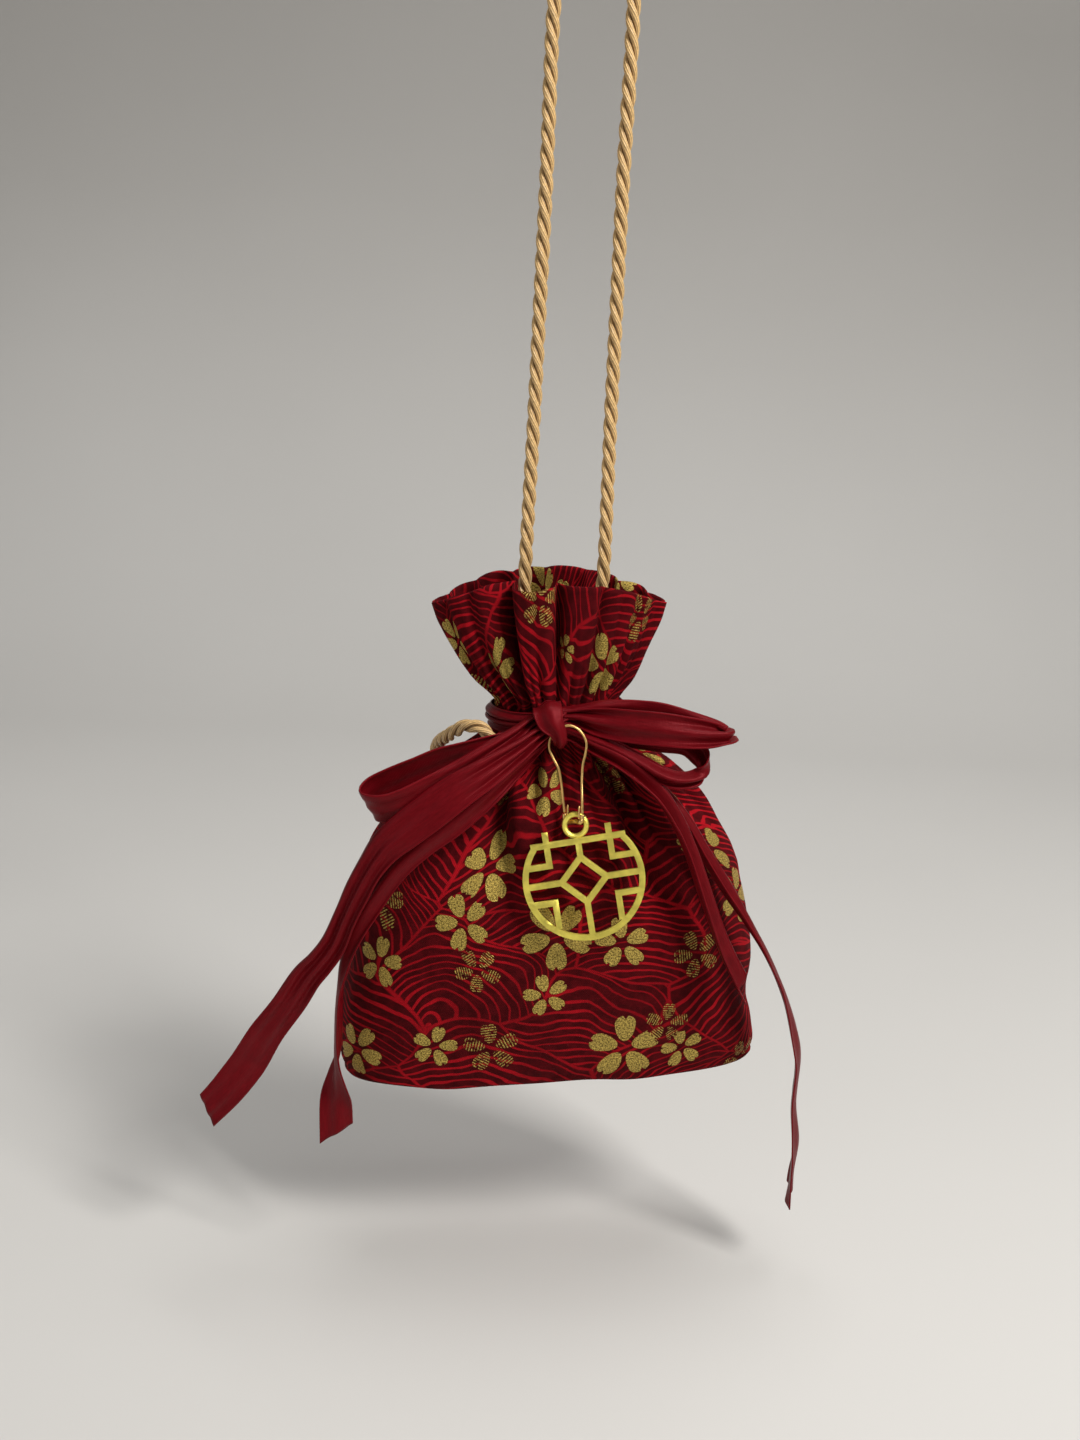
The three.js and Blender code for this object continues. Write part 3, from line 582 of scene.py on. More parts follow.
# Folds of the gathered cloth: direction in degrees from the front, share of the radius that the
# fold takes at the rim, at the neck and on the body, half widths in degrees on its left and right
# side, height where it has run out, and how far it drifts round the body on its way down
FOLDS = [
    (-48.0, 0.04, 0.16, 0.24, 3.4, 3.0, 50, 0),
    (-36.0, 0.03, 0.13, 0.26, 3.0, 2.6, 56, 2),
    (-24.0, 0.62, 0.24, 0.42, 6.2, 2.2, 26, 11),
    (-9.0, 0.02, 0.12, 0.20, 2.6, 2.6, 62, 5),
    (3.0, 0.52, 0.24, 0.26, 2.2, 4.0, 50, 3),
    (12.5, 0.03, 0.14, 0.28, 2.4, 2.8, 58, 3),
    (26.0, 0.16, 0.26, 0.46, 2.8, 4.2, 34, 4),
    (38.5, 0.03, 0.18, 0.38, 2.6, 3.0, 52, -1),
    (51.0, 0.06, 0.17, 0.30, 3.0, 3.6, 54, -5),
    (61.0, 0.02, 0.11, 0.18, 3.0, 3.0, 60, -2),
    (67.5, 0.05, 0.16, 0.10, 6.0, 6.0, 56, 0),
    (94.0, 0.03, 0.14, 0.07, 6.0, 6.0, 56, 0),
    (116.0, 0.08, 0.17, 0.12, 6.0, 5.0, 50, -4),
    (138.0, 0.24, 0.18, 0.15, 5.0, 5.0, 44, 3),
    (161.0, 0.12, 0.20, 0.16, 4.0, 6.0, 46, -3),
    (184.0, 0.26, 0.18, 0.15, 3.4, 5.6, 42, 4),
    (203.0, 0.34, 0.21, 0.17, 6.0, 3.2, 40, -4),
    (225.0, 0.12, 0.17, 0.13, 5.4, 5.4, 46, 3),
    (247.0, 0.07, 0.17, 0.11, 6.0, 6.0, 52, 0),
    (270.0, 0.03, 0.14, 0.07, 6.0, 6.0, 56, 0),
    (293.0, 0.05, 0.17, 0.11, 6.0, 6.0, 54, 0),
    (315.0, 0.06, 0.18, 0.14, 5.4, 5.4, 50, -3),
]
FULL_FOLDS = 80                     # height above which the body's folds have their full depth
FOLDS_OUT = 45                      # height at which they have spread and drifted in full
FOLD_WANDER = 1.6                   # degrees
MOST_FOLD = 0.66                    # of the radius

# The lesser creases' ranges, in the same order from the share at the rim on
CREASES = [(0.0, 0.012), (0.03, 0.08), (0.04, 0.13), (1.4, 2.6), (1.4, 2.6), (56, 74), (-5, 5)]
CREASE_COUNT = 44

# Soft dents in the cloth: depth, change for each millimetre across and upwards, and seed
DENTS = [(1.5, 0.05, 0.026, 3.0), (0.55, 0.13, 0.06, 11.0), (0.16, 0.42, 0.26, 23.0)]

# Where the rim stands higher than its plain curve: height, direction and half width in degrees
RIM_WAVES = [(0.8, -33, 8), (-1.2, -11, 9), (-0.5, 150, 14), (1.3, 180, 50)]
RIM_LIFT = 0.5

# Where the base edge sags: depth, x and half width
HEM_SAGS = [(0.9, -26, 9), (0.6, 20, 7), (-0.4, 8, 8)]

# Heights at which these start and are in full
NECK_GATHERS = (74, NECK_LOW)
BODY_FOLDS = (28, 70)
BODY_DENTS = (0.0, 12.0)
UNTWISTED = (20, 80)
SAGGING = (4.0, 0.0)

# Rings of the cloth
FOOT_HEIGHTS = [0.0, 0.25, 0.6, 1.2, 2.0, 3.0]
BODY_START = 4.1
RING_PITCH = 0.95
FRONT_CROWDING = 9.0                # degrees
FRILL_SPAN = 27                     # height over which the frill's folds wander
FRILL_SHARES = np.linspace(0.04, 1.0, 27)
INNER_START = 0.13                  # share of the frill's height where its inside ends
CROWN_RISE = 0.32
FUNNEL = (0, 7.4, 7.4, 4.4, 2.0)
BASE_SHARES = (0.05, 0.3, 0.55, 0.78, 0.92)
FIRST_BODY_RING = len(BASE_SHARES)  # the rings before it close the base


def small_folds():
    """Lesser creases between the main folds, strongest just below the neck."""
    toss = random.Random(11)
    made = []
    for k in range(CREASE_COUNT):
        at = 360.0 * (k + toss.uniform(-0.35, 0.35)) / CREASE_COUNT
        made.append((at, *[toss.uniform(low, high) for low, high in CREASES]))
    return made


def turned_from(turn, at):
    """Degrees from one direction to others, between -180 and 180."""
    return (turn - at + 540.0) % 360.0 - 180.0


def fold_depth(turn, z, rim_share=0.0, neck_share=0.0, body_share=0.0):
    """Share of the radius that the folds take, for directions in degrees at one height."""
    total = np.zeros_like(turn)
    below = smooth(z, NECK_LOW, FOLDS_OUT)
    for k, (at, rim, neck, body, left, right, end, drift) in enumerate(FOLDS + small_folds()):
        wander = FOLD_WANDER * noise.noise(Vector((k * 3.7, z * 0.04, 1.5))) * (0.35 + 0.65 * below)
        away = turned_from(turn, at + wander + drift * below)
        away = np.abs(away) / (np.where(away < 0, left, right) * (1.0 + 0.9 * below))
        depth = rim * rim_share + neck * neck_share + body * body_share * smooth(z, end, FULL_FOLDS)
        total += depth * np.exp(-away ** 1.3)
    return np.minimum(total, MOST_FOLD)


def outline(level, turn):
    """Points of a level for directions in degrees, and the way inwards at each."""
    _, left, right, depth, square = level
    s = np.sin(np.radians(turn))
    c = -np.cos(np.radians(turn))
    wide = np.where(s > 0, right, left)
    reach = (np.abs(s) ** square + np.abs(c) ** square) ** (-1 / square)
    x, y = s * reach, c * reach
    inward = -unit(np.stack([np.sign(x) * np.abs(x) ** (square - 1) / wide,
                             np.sign(y) * np.abs(y) ** (square - 1) / depth], axis=-1))
    return np.stack([x * wide, y * depth], axis=-1), inward


def level_at(levels, where):
    """A level between two rows of a table, on a smooth curve through them."""
    rows = np.array(levels)
    at = rows[:, 0]
    slope = np.gradient(rows[:, 1:], at, axis=0)
    k = int(np.clip(np.searchsorted(at, where, side="right") - 1, 0, len(at) - 2))
    span = at[k + 1] - at[k]
    t = (where - at[k]) / span
    a, b = rows[k, 1:], rows[k + 1, 1:]
    m, n = slope[k] * span, slope[k + 1] * span
    value = ((2 * t**3 - 3 * t**2 + 1) * a + (t**3 - 2 * t**2 + t) * m
             + (-2 * t**3 + 3 * t**2) * b + (t**3 - t**2) * n)
    return (where, *value)


def even_turns(columns):
    """Directions round the pouch, closer together at its front and back."""
    turn = np.linspace(-180.0, 180.0, columns, endpoint=False)
    return turn - FRONT_CROWDING * np.sin(np.radians(2 * turn))


def noise_at(points, scale, seed):
    """Smooth noise between -1 and 1 at each point."""
    return np.array([noise.noise(Vector(p)) for p in points * scale + (seed, 0.0, 0.0)])


def cloth_ring(level, turn, height, folds, inset=0.0, twist=0.0, ripple=0.0):
    """One ring of the cloth: the outline, drawn in by the folds and stirred by soft dents."""
    flat, inward = outline(level, turn)
    radius = np.linalg.norm(flat, axis=1)
    height = np.broadcast_to(height, radius.shape)
    where = np.column_stack([flat, height])
    dents = sum(depth * noise_at(where, np.array((across, across, up)), seed)
                for depth, across, up, seed in DENTS)
    flat = flat + inward * (folds * radius + inset + ripple * (0.25 - dents))[:, None]
    return np.column_stack([*rotated(flat[:, 0], flat[:, 1], math.radians(twist)), height])


def bump_at(x, at, width):
    """A soft bump of height 1."""
    return np.exp(-((x - at) / width) ** 2)


def rim_height(turn):
    """The rim falls to its two side corners, and the pleat in the middle of the front sits lower."""
    waves = sum(height * bump_at(turned_from(turn, at), 0, width) for height, at, width in RIM_WAVES)
    return RIM_Z - RIM_DROP * np.abs(np.sin(np.radians(turn))) ** 3 + waves + RIM_LIFT


def body_ring(turn, z):
    """A ring below the neck, where the folds run out, the base is twisted and its edge sags."""
    neck = smooth(z, *NECK_GATHERS)
    folds = fold_depth(turn, z, neck_share=neck, body_share=smooth(z, *BODY_FOLDS) * (1 - neck))
    ripple = smooth(z, *BODY_DENTS) * (1.0 - 0.85 * neck)
    twist = BASE_TURN * (1 - smooth(z, *UNTWISTED))
    ring = cloth_ring(level_at(BODY_LEVELS, z), turn, z, folds, 0.0, twist, ripple)
    sag = sum(depth * bump_at(ring[:, 0], x, width) for depth, x, width in HEM_SAGS)
    ring[:, 2] -= sag * smooth(z, *SAGGING)
    return ring


def frill_ring(turn, share, inset):
    """A ring above the neck, by its share of the height up to the rim."""
    rim = smooth(share, 0, 0.6)
    height = NECK_HIGH + share * (rim_height(turn) - NECK_HIGH)
    folds = fold_depth(turn, NECK_HIGH + share * FRILL_SPAN, rim_share=rim, neck_share=1 - rim)
    return cloth_ring(level_at(FRILL_LEVELS, share), turn, height, folds, inset, 0.0, 0.45 * rim)


def pouch_surface(settings):
    """Points of the cloth as a grid of rings: base, body, neck, frill, over the rim and down inside."""
    turn = even_turns(settings.columns)
    wall = settings.rim_wall / MM
    base = cloth_ring(BODY_LEVELS[0], turn, 0.0, np.zeros_like(turn), twist=BASE_TURN)
    rings = []
    for share in BASE_SHARES:
        rings.append(np.column_stack([base[:, :2] * share, np.full_like(turn, 0.5 * (1 - share))]))
    for z in [*FOOT_HEIGHTS, *np.arange(BODY_START, NECK_LOW, RING_PITCH), NECK_LOW]:
        rings.append(body_ring(turn, z))
    for z in np.linspace(NECK_LOW, NECK_HIGH, 7)[1:]:
        rings.append(cloth_ring(level_at(BODY_LEVELS, z), turn, z, fold_depth(turn, z, neck_share=1.0)))
    rings.extend(frill_ring(turn, share, 0.0) for share in FRILL_SHARES)
    crown = frill_ring(turn, 1.0, wall / 2)
    crown[:, 2] += CROWN_RISE
    rings.append(crown)
    outside = len(rings)
    rings.extend(frill_ring(turn, share, wall) for share in FRILL_SHARES[::-1] if share > INNER_START)
    flat, _ = outline(FUNNEL, turn)
    for share in (1.0, 0.5, 0.06):
        rings.append(np.column_stack([flat * share, np.full_like(turn, FUNNEL_FLOOR)]))
    return np.array(rings), turn, outside


def cloth_layout(rings, turn):
    """Each ring point's place on the flat cloth, in millimetres. The last column repeats the first."""
    count, columns, _ = rings.shape
    closed = np.concatenate([rings, rings[:, :1]], axis=1)
    steps = np.linalg.norm(np.diff(closed, axis=1), axis=2)
    along = np.concatenate([np.zeros((count, 1)), np.cumsum(steps, axis=1)], axis=1)
    front = columns // 2
    along -= along[:, front:front + 1]
    half = (along[:, -1] - along[:, 0]) / 2
    full = half[FIRST_BODY_RING:].max()
    full_turn = np.concatenate([turn, [turn[0] + 360.0]])
    gathered = np.zeros_like(full_turn)
    for at, _, neck, _, left, right, _, _ in FOLDS:
        gathered += neck * bump_at(turned_from(full_turn, at), 0, 0.3 * (left + right))
    taken = np.concatenate([[0.0], np.cumsum((gathered[1:] + gathered[:-1]) / 2 * np.diff(full_turn))])
    taken -= taken[front]
    taken /= (taken[-1] - taken[0]) / 2
    u = along + np.maximum(full - half, 0.0)[:, None] * taken[None, :]
    rise = np.linalg.norm(np.diff(rings, axis=0), axis=2)
    v = np.concatenate([[0.0], np.cumsum(np.percentile(rise, 35, axis=1))])
    v -= v[FIRST_BODY_RING]
    return u, np.repeat(v[:, None], columns + 1, axis=1)


# Blossoms on the front of the body and frill: x, z, radius, turn in degrees, hatched or not
FRONT_BLOSSOMS = [
    (-15.4, 57.0, 8.3, 12, 0), (-21.3, 45.1, 7.0, 40, 0), (-41.2, 33.6, 6.4, 8, 0),
    (-1.5, 27.3, 5.6, 30, 0), (0.9, 42.5, 9.0, 50, 0), (16.4, 39.2, 6.8, 20, 0),
    (-28.6, 13.0, 5.7, 5, 0), (17.6, 10.9, 9.2, 18, 0), (31.5, 8.6, 5.6, 30, 0),
    (-47.3, 9.4, 7.0, 55, 0), (37.2, 59.6, 8.0, 25, 0), (44.4, 45.6, 7.4, 60, 0),
    (-17.9, 33.4, 5.8, 50, 1), (-14.5, 12.2, 7.0, 25, 1), (27.3, 16.4, 5.8, 10, 1),
    (34.5, 34.4, 6.4, 36, 1), (-41.0, 48.0, 7.2, 15, 1), (-13.1, 74.6, 6.4, 30, 1),
    (-1.6, 75.8, 6.4, 44, 0), (12.9, 77.0, 6.4, 15, 1), (20.7, 80.7, 6.2, 35, 0),
    (24.2, 73.6, 6.6, 50, 1), (-31.5, 62.0, 6.0, 20, 1),
    (-12.9, 101.2, 8.6, 10, 0), (-22.4, 108.4, 6.6, 45, 0), (11.9, 103.4, 8.0, 30, 0),
    (20.2, 114.2, 6.6, 55, 1), (-3.2, 118.6, 6.4, 5, 1), (2.6, 108.0, 3.4, 0, 0),
]

FRONT_HALF_WIDTH = 44.0             # the scattered blossoms keep off the front, out to here
BLOSSOM_PITCH = 21.0
BLOSSOM_GAP = 1.5
BASE_PRINT_AT = (400.0, 400.0)      # the base is cut from elsewhere on the cloth
FAR = 1e9


def scattered_blossoms(u, v, taken):
    """Blossoms over the sides and back, on a shaken grid that keeps clear of the ones above."""
    toss = random.Random(5)
    made = []
    for i in range(int((u.max() - u.min()) / BLOSSOM_PITCH) + 1):
        for k in range(int(v.max() / BLOSSOM_PITCH) + 1):
            at = (u.min() + (i + 0.5 + toss.uniform(-0.3, 0.3)) * BLOSSOM_PITCH,
                  (k + 0.5 * (i % 2) + 0.3 + toss.uniform(-0.25, 0.25)) * BLOSSOM_PITCH)
            size = toss.uniform(5.4, 8.6)
            turn = toss.uniform(0, 72)
            hatched = int(toss.random() < 0.4)
            near = min(math.hypot(at[0] - a, at[1] - b) - r for a, b, r, _, _ in taken)
            if near > size + BLOSSOM_GAP and toss.random() < 0.72 and abs(at[0]) > FRONT_HALF_WIDTH:
                made.append((*at, size, turn, hatched))
    return made


def print_blossoms(rings, u, v, row, column, outside):
    """Each face's place in its nearest blossom: unit coordinates per corner and the blossom's kind."""
    front = (rings[:, :, 1] < 0) & (np.arange(len(rings)) < outside)[:, None]
    front[:FIRST_BODY_RING] = False
    placed = []
    for x, z, size, turn, hatched in FRONT_BLOSSOMS:
        gap = np.where(front, (rings[:, :, 0] - x) ** 2 + (rings[:, :, 2] - z) ** 2, FAR)
        at = np.unravel_index(int(gap.argmin()), gap.shape)
        placed.append((u[at], v[at], size, turn, hatched))
    spots = np.array(placed + scattered_blossoms(u, v, placed))
    corner_u, corner_v = u[row, column], v[row, column]
    mid_u, mid_v = corner_u.mean(axis=1), corner_v.mean(axis=1)
    best = np.full(len(row), FAR)
    chosen = np.zeros(len(row), dtype=int)
    for k, (a, b, size, _, _) in enumerate(spots):
        gap = np.hypot(mid_u - a, mid_v - b) / size
        nearer = gap < best
        best[nearer] = gap[nearer]
        chosen[nearer] = k
    a, b, size, turn, hatched = (spots[chosen, k][:, None] for k in range(5))
    local = np.stack(rotated((corner_u - a) / size, (corner_v - b) / size, -np.radians(turn)), axis=-1)
    kind = np.repeat(hatched, 4, axis=1)
    return local, np.stack([kind, np.zeros_like(kind)], axis=-1)


class POUCH_OT_cloth(bpy.types.Operator):
    """Make the gathered cotton pouch with its frill"""
    bl_idname = "pouch.cloth"
    bl_label = "Pouch cloth"

    def execute(self, context):
        settings = context.scene.pouch_cloth
        rings, turn, outside = pouch_surface(settings)
        u, v = cloth_layout(rings, turn)
        faces, row, column = grid_faces(len(rings), settings.columns, True)
        piece = new_piece("pouch_cloth", to_frame(rings.reshape(-1, 3)), faces, printed_cotton(settings))
        cloth_uv = np.stack([u[row, column], v[row, column]], axis=-1)
        base = row.max(axis=1) <= FIRST_BODY_RING
        corners = rings[row, column % settings.columns]
        cloth_uv[base] = corners[base][..., :2] + BASE_PRINT_AT
        local, kind = print_blossoms(rings, u, v, row, column, outside)
        set_uv(piece.data, "cloth", cloth_uv / PRINT_MM)
        set_uv(piece.data, "blossom", local)
        set_uv(piece.data, "blossom_kind", kind)
        close_ends(piece)
        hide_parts("pouch")
        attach(piece, "root")
        return {"FINISHED"}


# Cords

def loop_at(turn):
    """A point on the plain loop that closes the carrying cord, by its direction in degrees."""
    across, up = rotated(0.0, LOOP_RADIUS, -math.radians(turn))
    return (LOOP_X + across, CORD_Y, LOOP_LINE_TOP - LOOP_RADIUS + up)


CARRY_CORD_ROUTE = [
    (-3.9, -0.8, 97.1),
    (-5.4, -1.3, 105.0),
    (-6.4, CORD_Y, 112.0),
    (-6.7, CORD_Y, 119.0),
    (-4.3, CORD_Y, 163.0),
    (-1.9, CORD_Y, 208.0),
    *[loop_at(turn) for turn in (-90, -60, -30, 0, 30, 60, 90)],
    (15.1, CORD_Y, 208.0),
    (13.2, CORD_Y, 163.0),
    (11.4, CORD_Y, 119.0),
    (10.4, CORD_Y, 112.0),
    (7.4, -1.3, 104.0),
    (4.1, -0.8, 97.1),
]

DRAW_CORD_ROUTE = [
    (-14.0, -12.9, 85.0),
    (-14.9, -13.2, 87.6),
    (-17.3, -12.7, 89.5),
    (-20.4, -11.0, 89.3),
    (-23.0, -8.0, 87.4),
    (-25.0, -4.0, 85.2),
    (-26.5, 0.8, 83.2),
    (-27.8, 6.2, 80.9),
    (-28.8, 11.4, 78.0),
    (-29.3, 16.2, 74.0),
    (-29.4, 20.2, 68.8),
    (-29.4, 22.8, 62.6),
    (-29.4, 24.3, 56.0),
    (-29.6, 25.2, 49.0),
]
KNOT_TOP = np.array([-29.6, 25.3, 48.6])

PLIES = 3
PLY_SIDES = 12
RINGS_PER_LAY = 22


def twisted(name, route, settings, material, start=0.0):
    """Plies laid round each other along a route in pouch axes. Returns the piece and its centre line."""
    diameter = settings.diameter / MM
    lay = settings.lay / MM
    ply = diameter / (1 + 2 / math.sqrt(3))
    path = even(through(route, 400), lay / RINGS_PER_LAY)
    normal, binormal = normals_along(path)
    at = lengths_along(path)
    verts, faces, yarn, groove_shade = [], [], [], []
    quads, row, column = grid_faces(len(path), PLY_SIDES, True)
    for k in range(PLIES):
        angle = (2 * math.pi * (k / PLIES - at / lay) + start)[:, None]
        core = path + ply / math.sqrt(3) * (np.cos(angle) * normal + np.sin(angle) * binormal)
        rings = rings_round(core, ply / 2, PLY_SIDES)
        # Each point's distance from the cord's middle, which sets the yarn's painted shade in the grooves
        # between the plies.
        depth = np.linalg.norm(rings - path[:, None], axis=2) / (diameter / 2)
        verts.append(rings.reshape(-1, 3))
        faces.append(quads + k * rings[..., 0].size)
        yarn.append(np.stack([column / PLY_SIDES, at[row] / PRINT_MM], axis=-1))
        groove_shade.append(np.stack([depth[row, column % PLY_SIDES]] * 2, axis=-1))
    piece = new_piece(name, to_frame(np.concatenate(verts)), np.concatenate(faces), material)
    set_uv(piece.data, "yarn", np.concatenate(yarn))
    set_uv(piece.data, "groove_shade", np.concatenate(groove_shade))
    close_ends(piece)
    return piece, path


class POUCH_OT_cords(bpy.types.Operator):
    """Make the carrying cord, the free end of the draw cord, and its knot with a frayed end"""
    bl_idname = "pouch.cords"
    bl_label = "Cords"

    def execute(self, context):
        settings = context.scene.pouch_cord
        yarn = cord_yarn(settings)
        carry, path = twisted("carry_cord_rope", CARRY_CORD_ROUTE, settings, yarn, start=0.9)
        tail, tail_path = twisted("draw_cord_rope", DRAW_CORD_ROUTE, settings, yarn)
        knot = end_knot(settings, yarn)
        for piece, line, node, far_end, lay in (
                (carry, path, "carry_cord", "object", "taut"),
                (tail, tail_path, "draw_cord_tail", "knot", "hanging")):
            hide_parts(node)
            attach(piece, "root")
        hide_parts("draw_cord_end_knot")
        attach(knot, "root")
        return {"FINISHED"}


KNOT_DROP = 3.3                     # from the cord's end to the middle of its knot
KNOT_WIDTH = 1.365
KNOT_SIZE = (KNOT_WIDTH, 0.85 * KNOT_WIDTH, 1.1875)
STRAND_COUNT = 120
STRAND_LENGTH = 15.0
STRAND_RADIUS = 0.17
STRAND_SIDES = 5
STRAND_START = 5.6                  # below the cord's end
STRAND_STEP = 1.25                  # of yarn for each ring of points
BRUSH_RADIUS = 1.5
BRUSH_NECK = 0.75                   # share of that radius where the strands leave the knot


def knot_coil():
    """The centre line of an overhand knot, closed on itself."""
    turn = np.linspace(0, 2 * math.pi, 48)
    coil = np.stack([np.sin(turn) + 0.55 * np.sin(2 * turn),
                     np.cos(turn) - 0.55 * np.cos(2 * turn), np.sin(3 * turn)], axis=1)
    return coil * KNOT_SIZE + KNOT_TOP - (0, 0, KNOT_DROP)


def frayed_strand(toss):
    """One thread of the frayed end: it leaves the knot, bends a little and flares out."""
    a = toss.uniform(0, 2 * math.pi)
    radius = BRUSH_RADIUS * math.sqrt(toss.random())
    flare = toss.uniform(1.2, 1.9)
    bend_x, bend_y = toss.uniform(-0.5, 0.5), toss.uniform(-0.5, 0.5)
    length = STRAND_LENGTH * toss.uniform(0.86, 1.0)
    t = np.linspace(0, 1, 9)
    out = radius * (BRUSH_NECK + (flare - BRUSH_NECK) * t ** 0.8)
    x = out * math.cos(a) + bend_x * np.sin(3 * t)
    y = out * math.sin(a) + bend_y * np.sin(2.4 * t)
    return KNOT_TOP + np.stack([x, y, -STRAND_START - length * t], axis=1)


def end_knot(settings, material):
    """The knot in the draw cord's free end, with the frayed threads below it."""
    piece, _ = twisted("draw_cord_knot", knot_coil(), settings, material)
    toss = random.Random(3)
    rings = np.stack([rings_round(frayed_strand(toss), STRAND_RADIUS, STRAND_SIDES)
                      for _ in range(STRAND_COUNT)])
    quads, row, column = grid_faces(rings.shape[1], STRAND_SIDES, True)
    starts = np.arange(STRAND_COUNT)[:, None, None] * rings[0, ..., 0].size
    faces = (quads + starts).reshape(-1, 4)
    fringe = new_piece("fringe", to_frame(rings.reshape(-1, 3)), faces, material)
    yarn = np.stack([column / STRAND_SIDES, row * STRAND_STEP / PRINT_MM], axis=-1)
    set_uv(fringe.data, "yarn", np.tile(yarn, (STRAND_COUNT, 1, 1)))
    # The fringe's threads are given no painted groove shade.
    set_uv(fringe.data, "groove_shade", np.ones((len(fringe.data.loops), 2)))
    close_ends(fringe)
    join_to(piece, [fringe])
    return piece


# Ribbons

# Stations in pouch axes: x, y, z, width, and the way the ribbon's outer side looks
FRONT = (0.0, -1.0, 0.0)

KNOT_WRAP = [
    (-1.6, -17.2, 95.9, 6.6, -0.3, 0, 1),
    (-1.4, -20, 95, 6.6, -0.2, -0.8, 0.7),
    (-0.7, -21.2, 92.8, 6, -0.1, -1, 0.1),
    (0.9, -21.5, 90.4, 4, 0, -1, 0),
    (1.6, -20.8, 87.6, 3, 0, -0.9, -0.5),
    (1.4, -17.6, 86.3, 3, 0, 0, -1),
    (1.2, -14.3, 87, 3, 0, 1, -0.6),
    (0.6, -13.6, 90, 3.4, 0, 1, 0),
    (-0.5, -13.1, 92.6, 4.6, 0, 1, 0),
    (-1.5, -14.4, 95.3, 6.2, -0.2, 0.6, 0.9),
    (-1.6, -17.2, 95.9, 6.6, -0.3, 0, 1),
]

LEFT_LOOP = [
    (3, -15.9, 93.2, 3, 0, 1, 0),
    (-3.5, -16, 91.6, 3, 0, 1, 0),
    (-8.5, -17.2, 87.8, 5, 0, 1, 0.2),
    (-15, -19, 85.6, 7.8, 0, 1, 0.4),
    (-24.4, -20.8, 83.5, 9.2, 0, 1, 0.5),
    (-31, -22, 81, 9.4, -0.1, 1, 0.5),
    (-37, -23.2, 78.6, 9.4, -0.45, 0.9, 0.35),
    (-41, -24.7, 76.6, 9.4, -0.9, 0.45, -0.1),
    (-42.2, -26.4, 75.2, 9.3, -1, -0.1, -0.45),
    (-40.8, -27.8, 74.5, 9.3, -0.6, -0.8, -0.6),
    (-36.4, -28, 74.7, 9.2, -0.1, -1, -0.6),
    (-30, -27.2, 76.8, 8.8, 0, -1, -0.4),
    (-22, -25.6, 80.4, 8, 0, -1, -0.1),
    (-14, -22.6, 85.2, 6.6, *FRONT),
    (-8, -19.6, 89, 5, *FRONT),
    (-3.8, -16.8, 92, 3, *FRONT),
    (3, -15.9, 92.8, 3, *FRONT),
]

RIGHT_LOOP = [
    (-3, -15.9, 92.8, 3, *FRONT),
    (4.2, -16, 92.8, 3.4, *FRONT),
    (10.6, -18, 92, 6.6, 0, -1, 0.1),
    (17.3, -20.4, 91.6, 7.6, 0, -1, 0.1),
    (25, -22, 91.2, 7.6, 0, -1, 0.15),
    (31.5, -22.2, 90.4, 7, 0, -1, 0.3),
    (36.6, -21.6, 89.8, 6, 0.1, -0.9, 0.5),
    (39.6, -20.7, 89.5, 4.6, 0.7, -0.5, 0.6),
    (40.4, -19.4, 89.7, 4, 0.9, 0.1, 0.5),
    (38, -18.4, 90, 4.8, 0.3, 0.9, 0.3),
    (32, -17.8, 90.8, 6.8, 0, 1, 0.1),
    (23, -17, 92.3, 8.6, 0, 1, 0),
    (12, -16.2, 93.6, 6, 0, 1, 0),
    (4, -15.7, 93.4, 3, 0, 1, 0),
    (-3, -15.9, 93.2, 3, 0, 1, 0),
]

TAIL_A = [
    (3, -16, 92.6, 3, *FRONT),
    (-2, -18.6, 90.2, 3.2, *FRONT),
    (-7.6, -22.2, 86.6, 4.6, *FRONT),
    (-14.7, -26.2, 82.5, 6.8, 0, -1, 0.2),
    (-21.5, -28.8, 78.7, 8.2, 0, -1, 0.3),
    (-27.9, -29.8, 74.1, 8.8, 0, -1, 0.3),
    (-33.3, -29.8, 69.9, 8.6, -0.1, -1, 0.3),
    (-38.2, -29.2, 65.5, 7.8, -0.3, -1, 0.2),
    (-41.8, -28.4, 60.2, 7, -0.5, -0.9, 0.1),
    (-45, -27.6, 54, 6.8, -0.5, -0.9, 0),
    (-47.8, -26.8, 47.8, 6.4, -0.5, -0.9, 0),
    (-51, -25.8, 40.6, 6.2, -0.3, -1, 0),
    (-54.4, -24.9, 35.8, 6.4, -0.1, -1, 0.1),
    (-57.8, -24, 31.8, 7, 0, -1, 0.2),
    (-62.5, -23, 24.5, 7.6, 0.2, -1, 0),
    (-68.4, -22, 16.4, 8.4, 0.3, -1, 0),
    (-73.2, -21, 8.4, 9, 0.3, -1, 0),
    (-78.6, -21, 1.4, 8.6, 0.2, -1, 0),
    (-83.4, -21, -3.7, 8, 0.2, -1, 0),
]

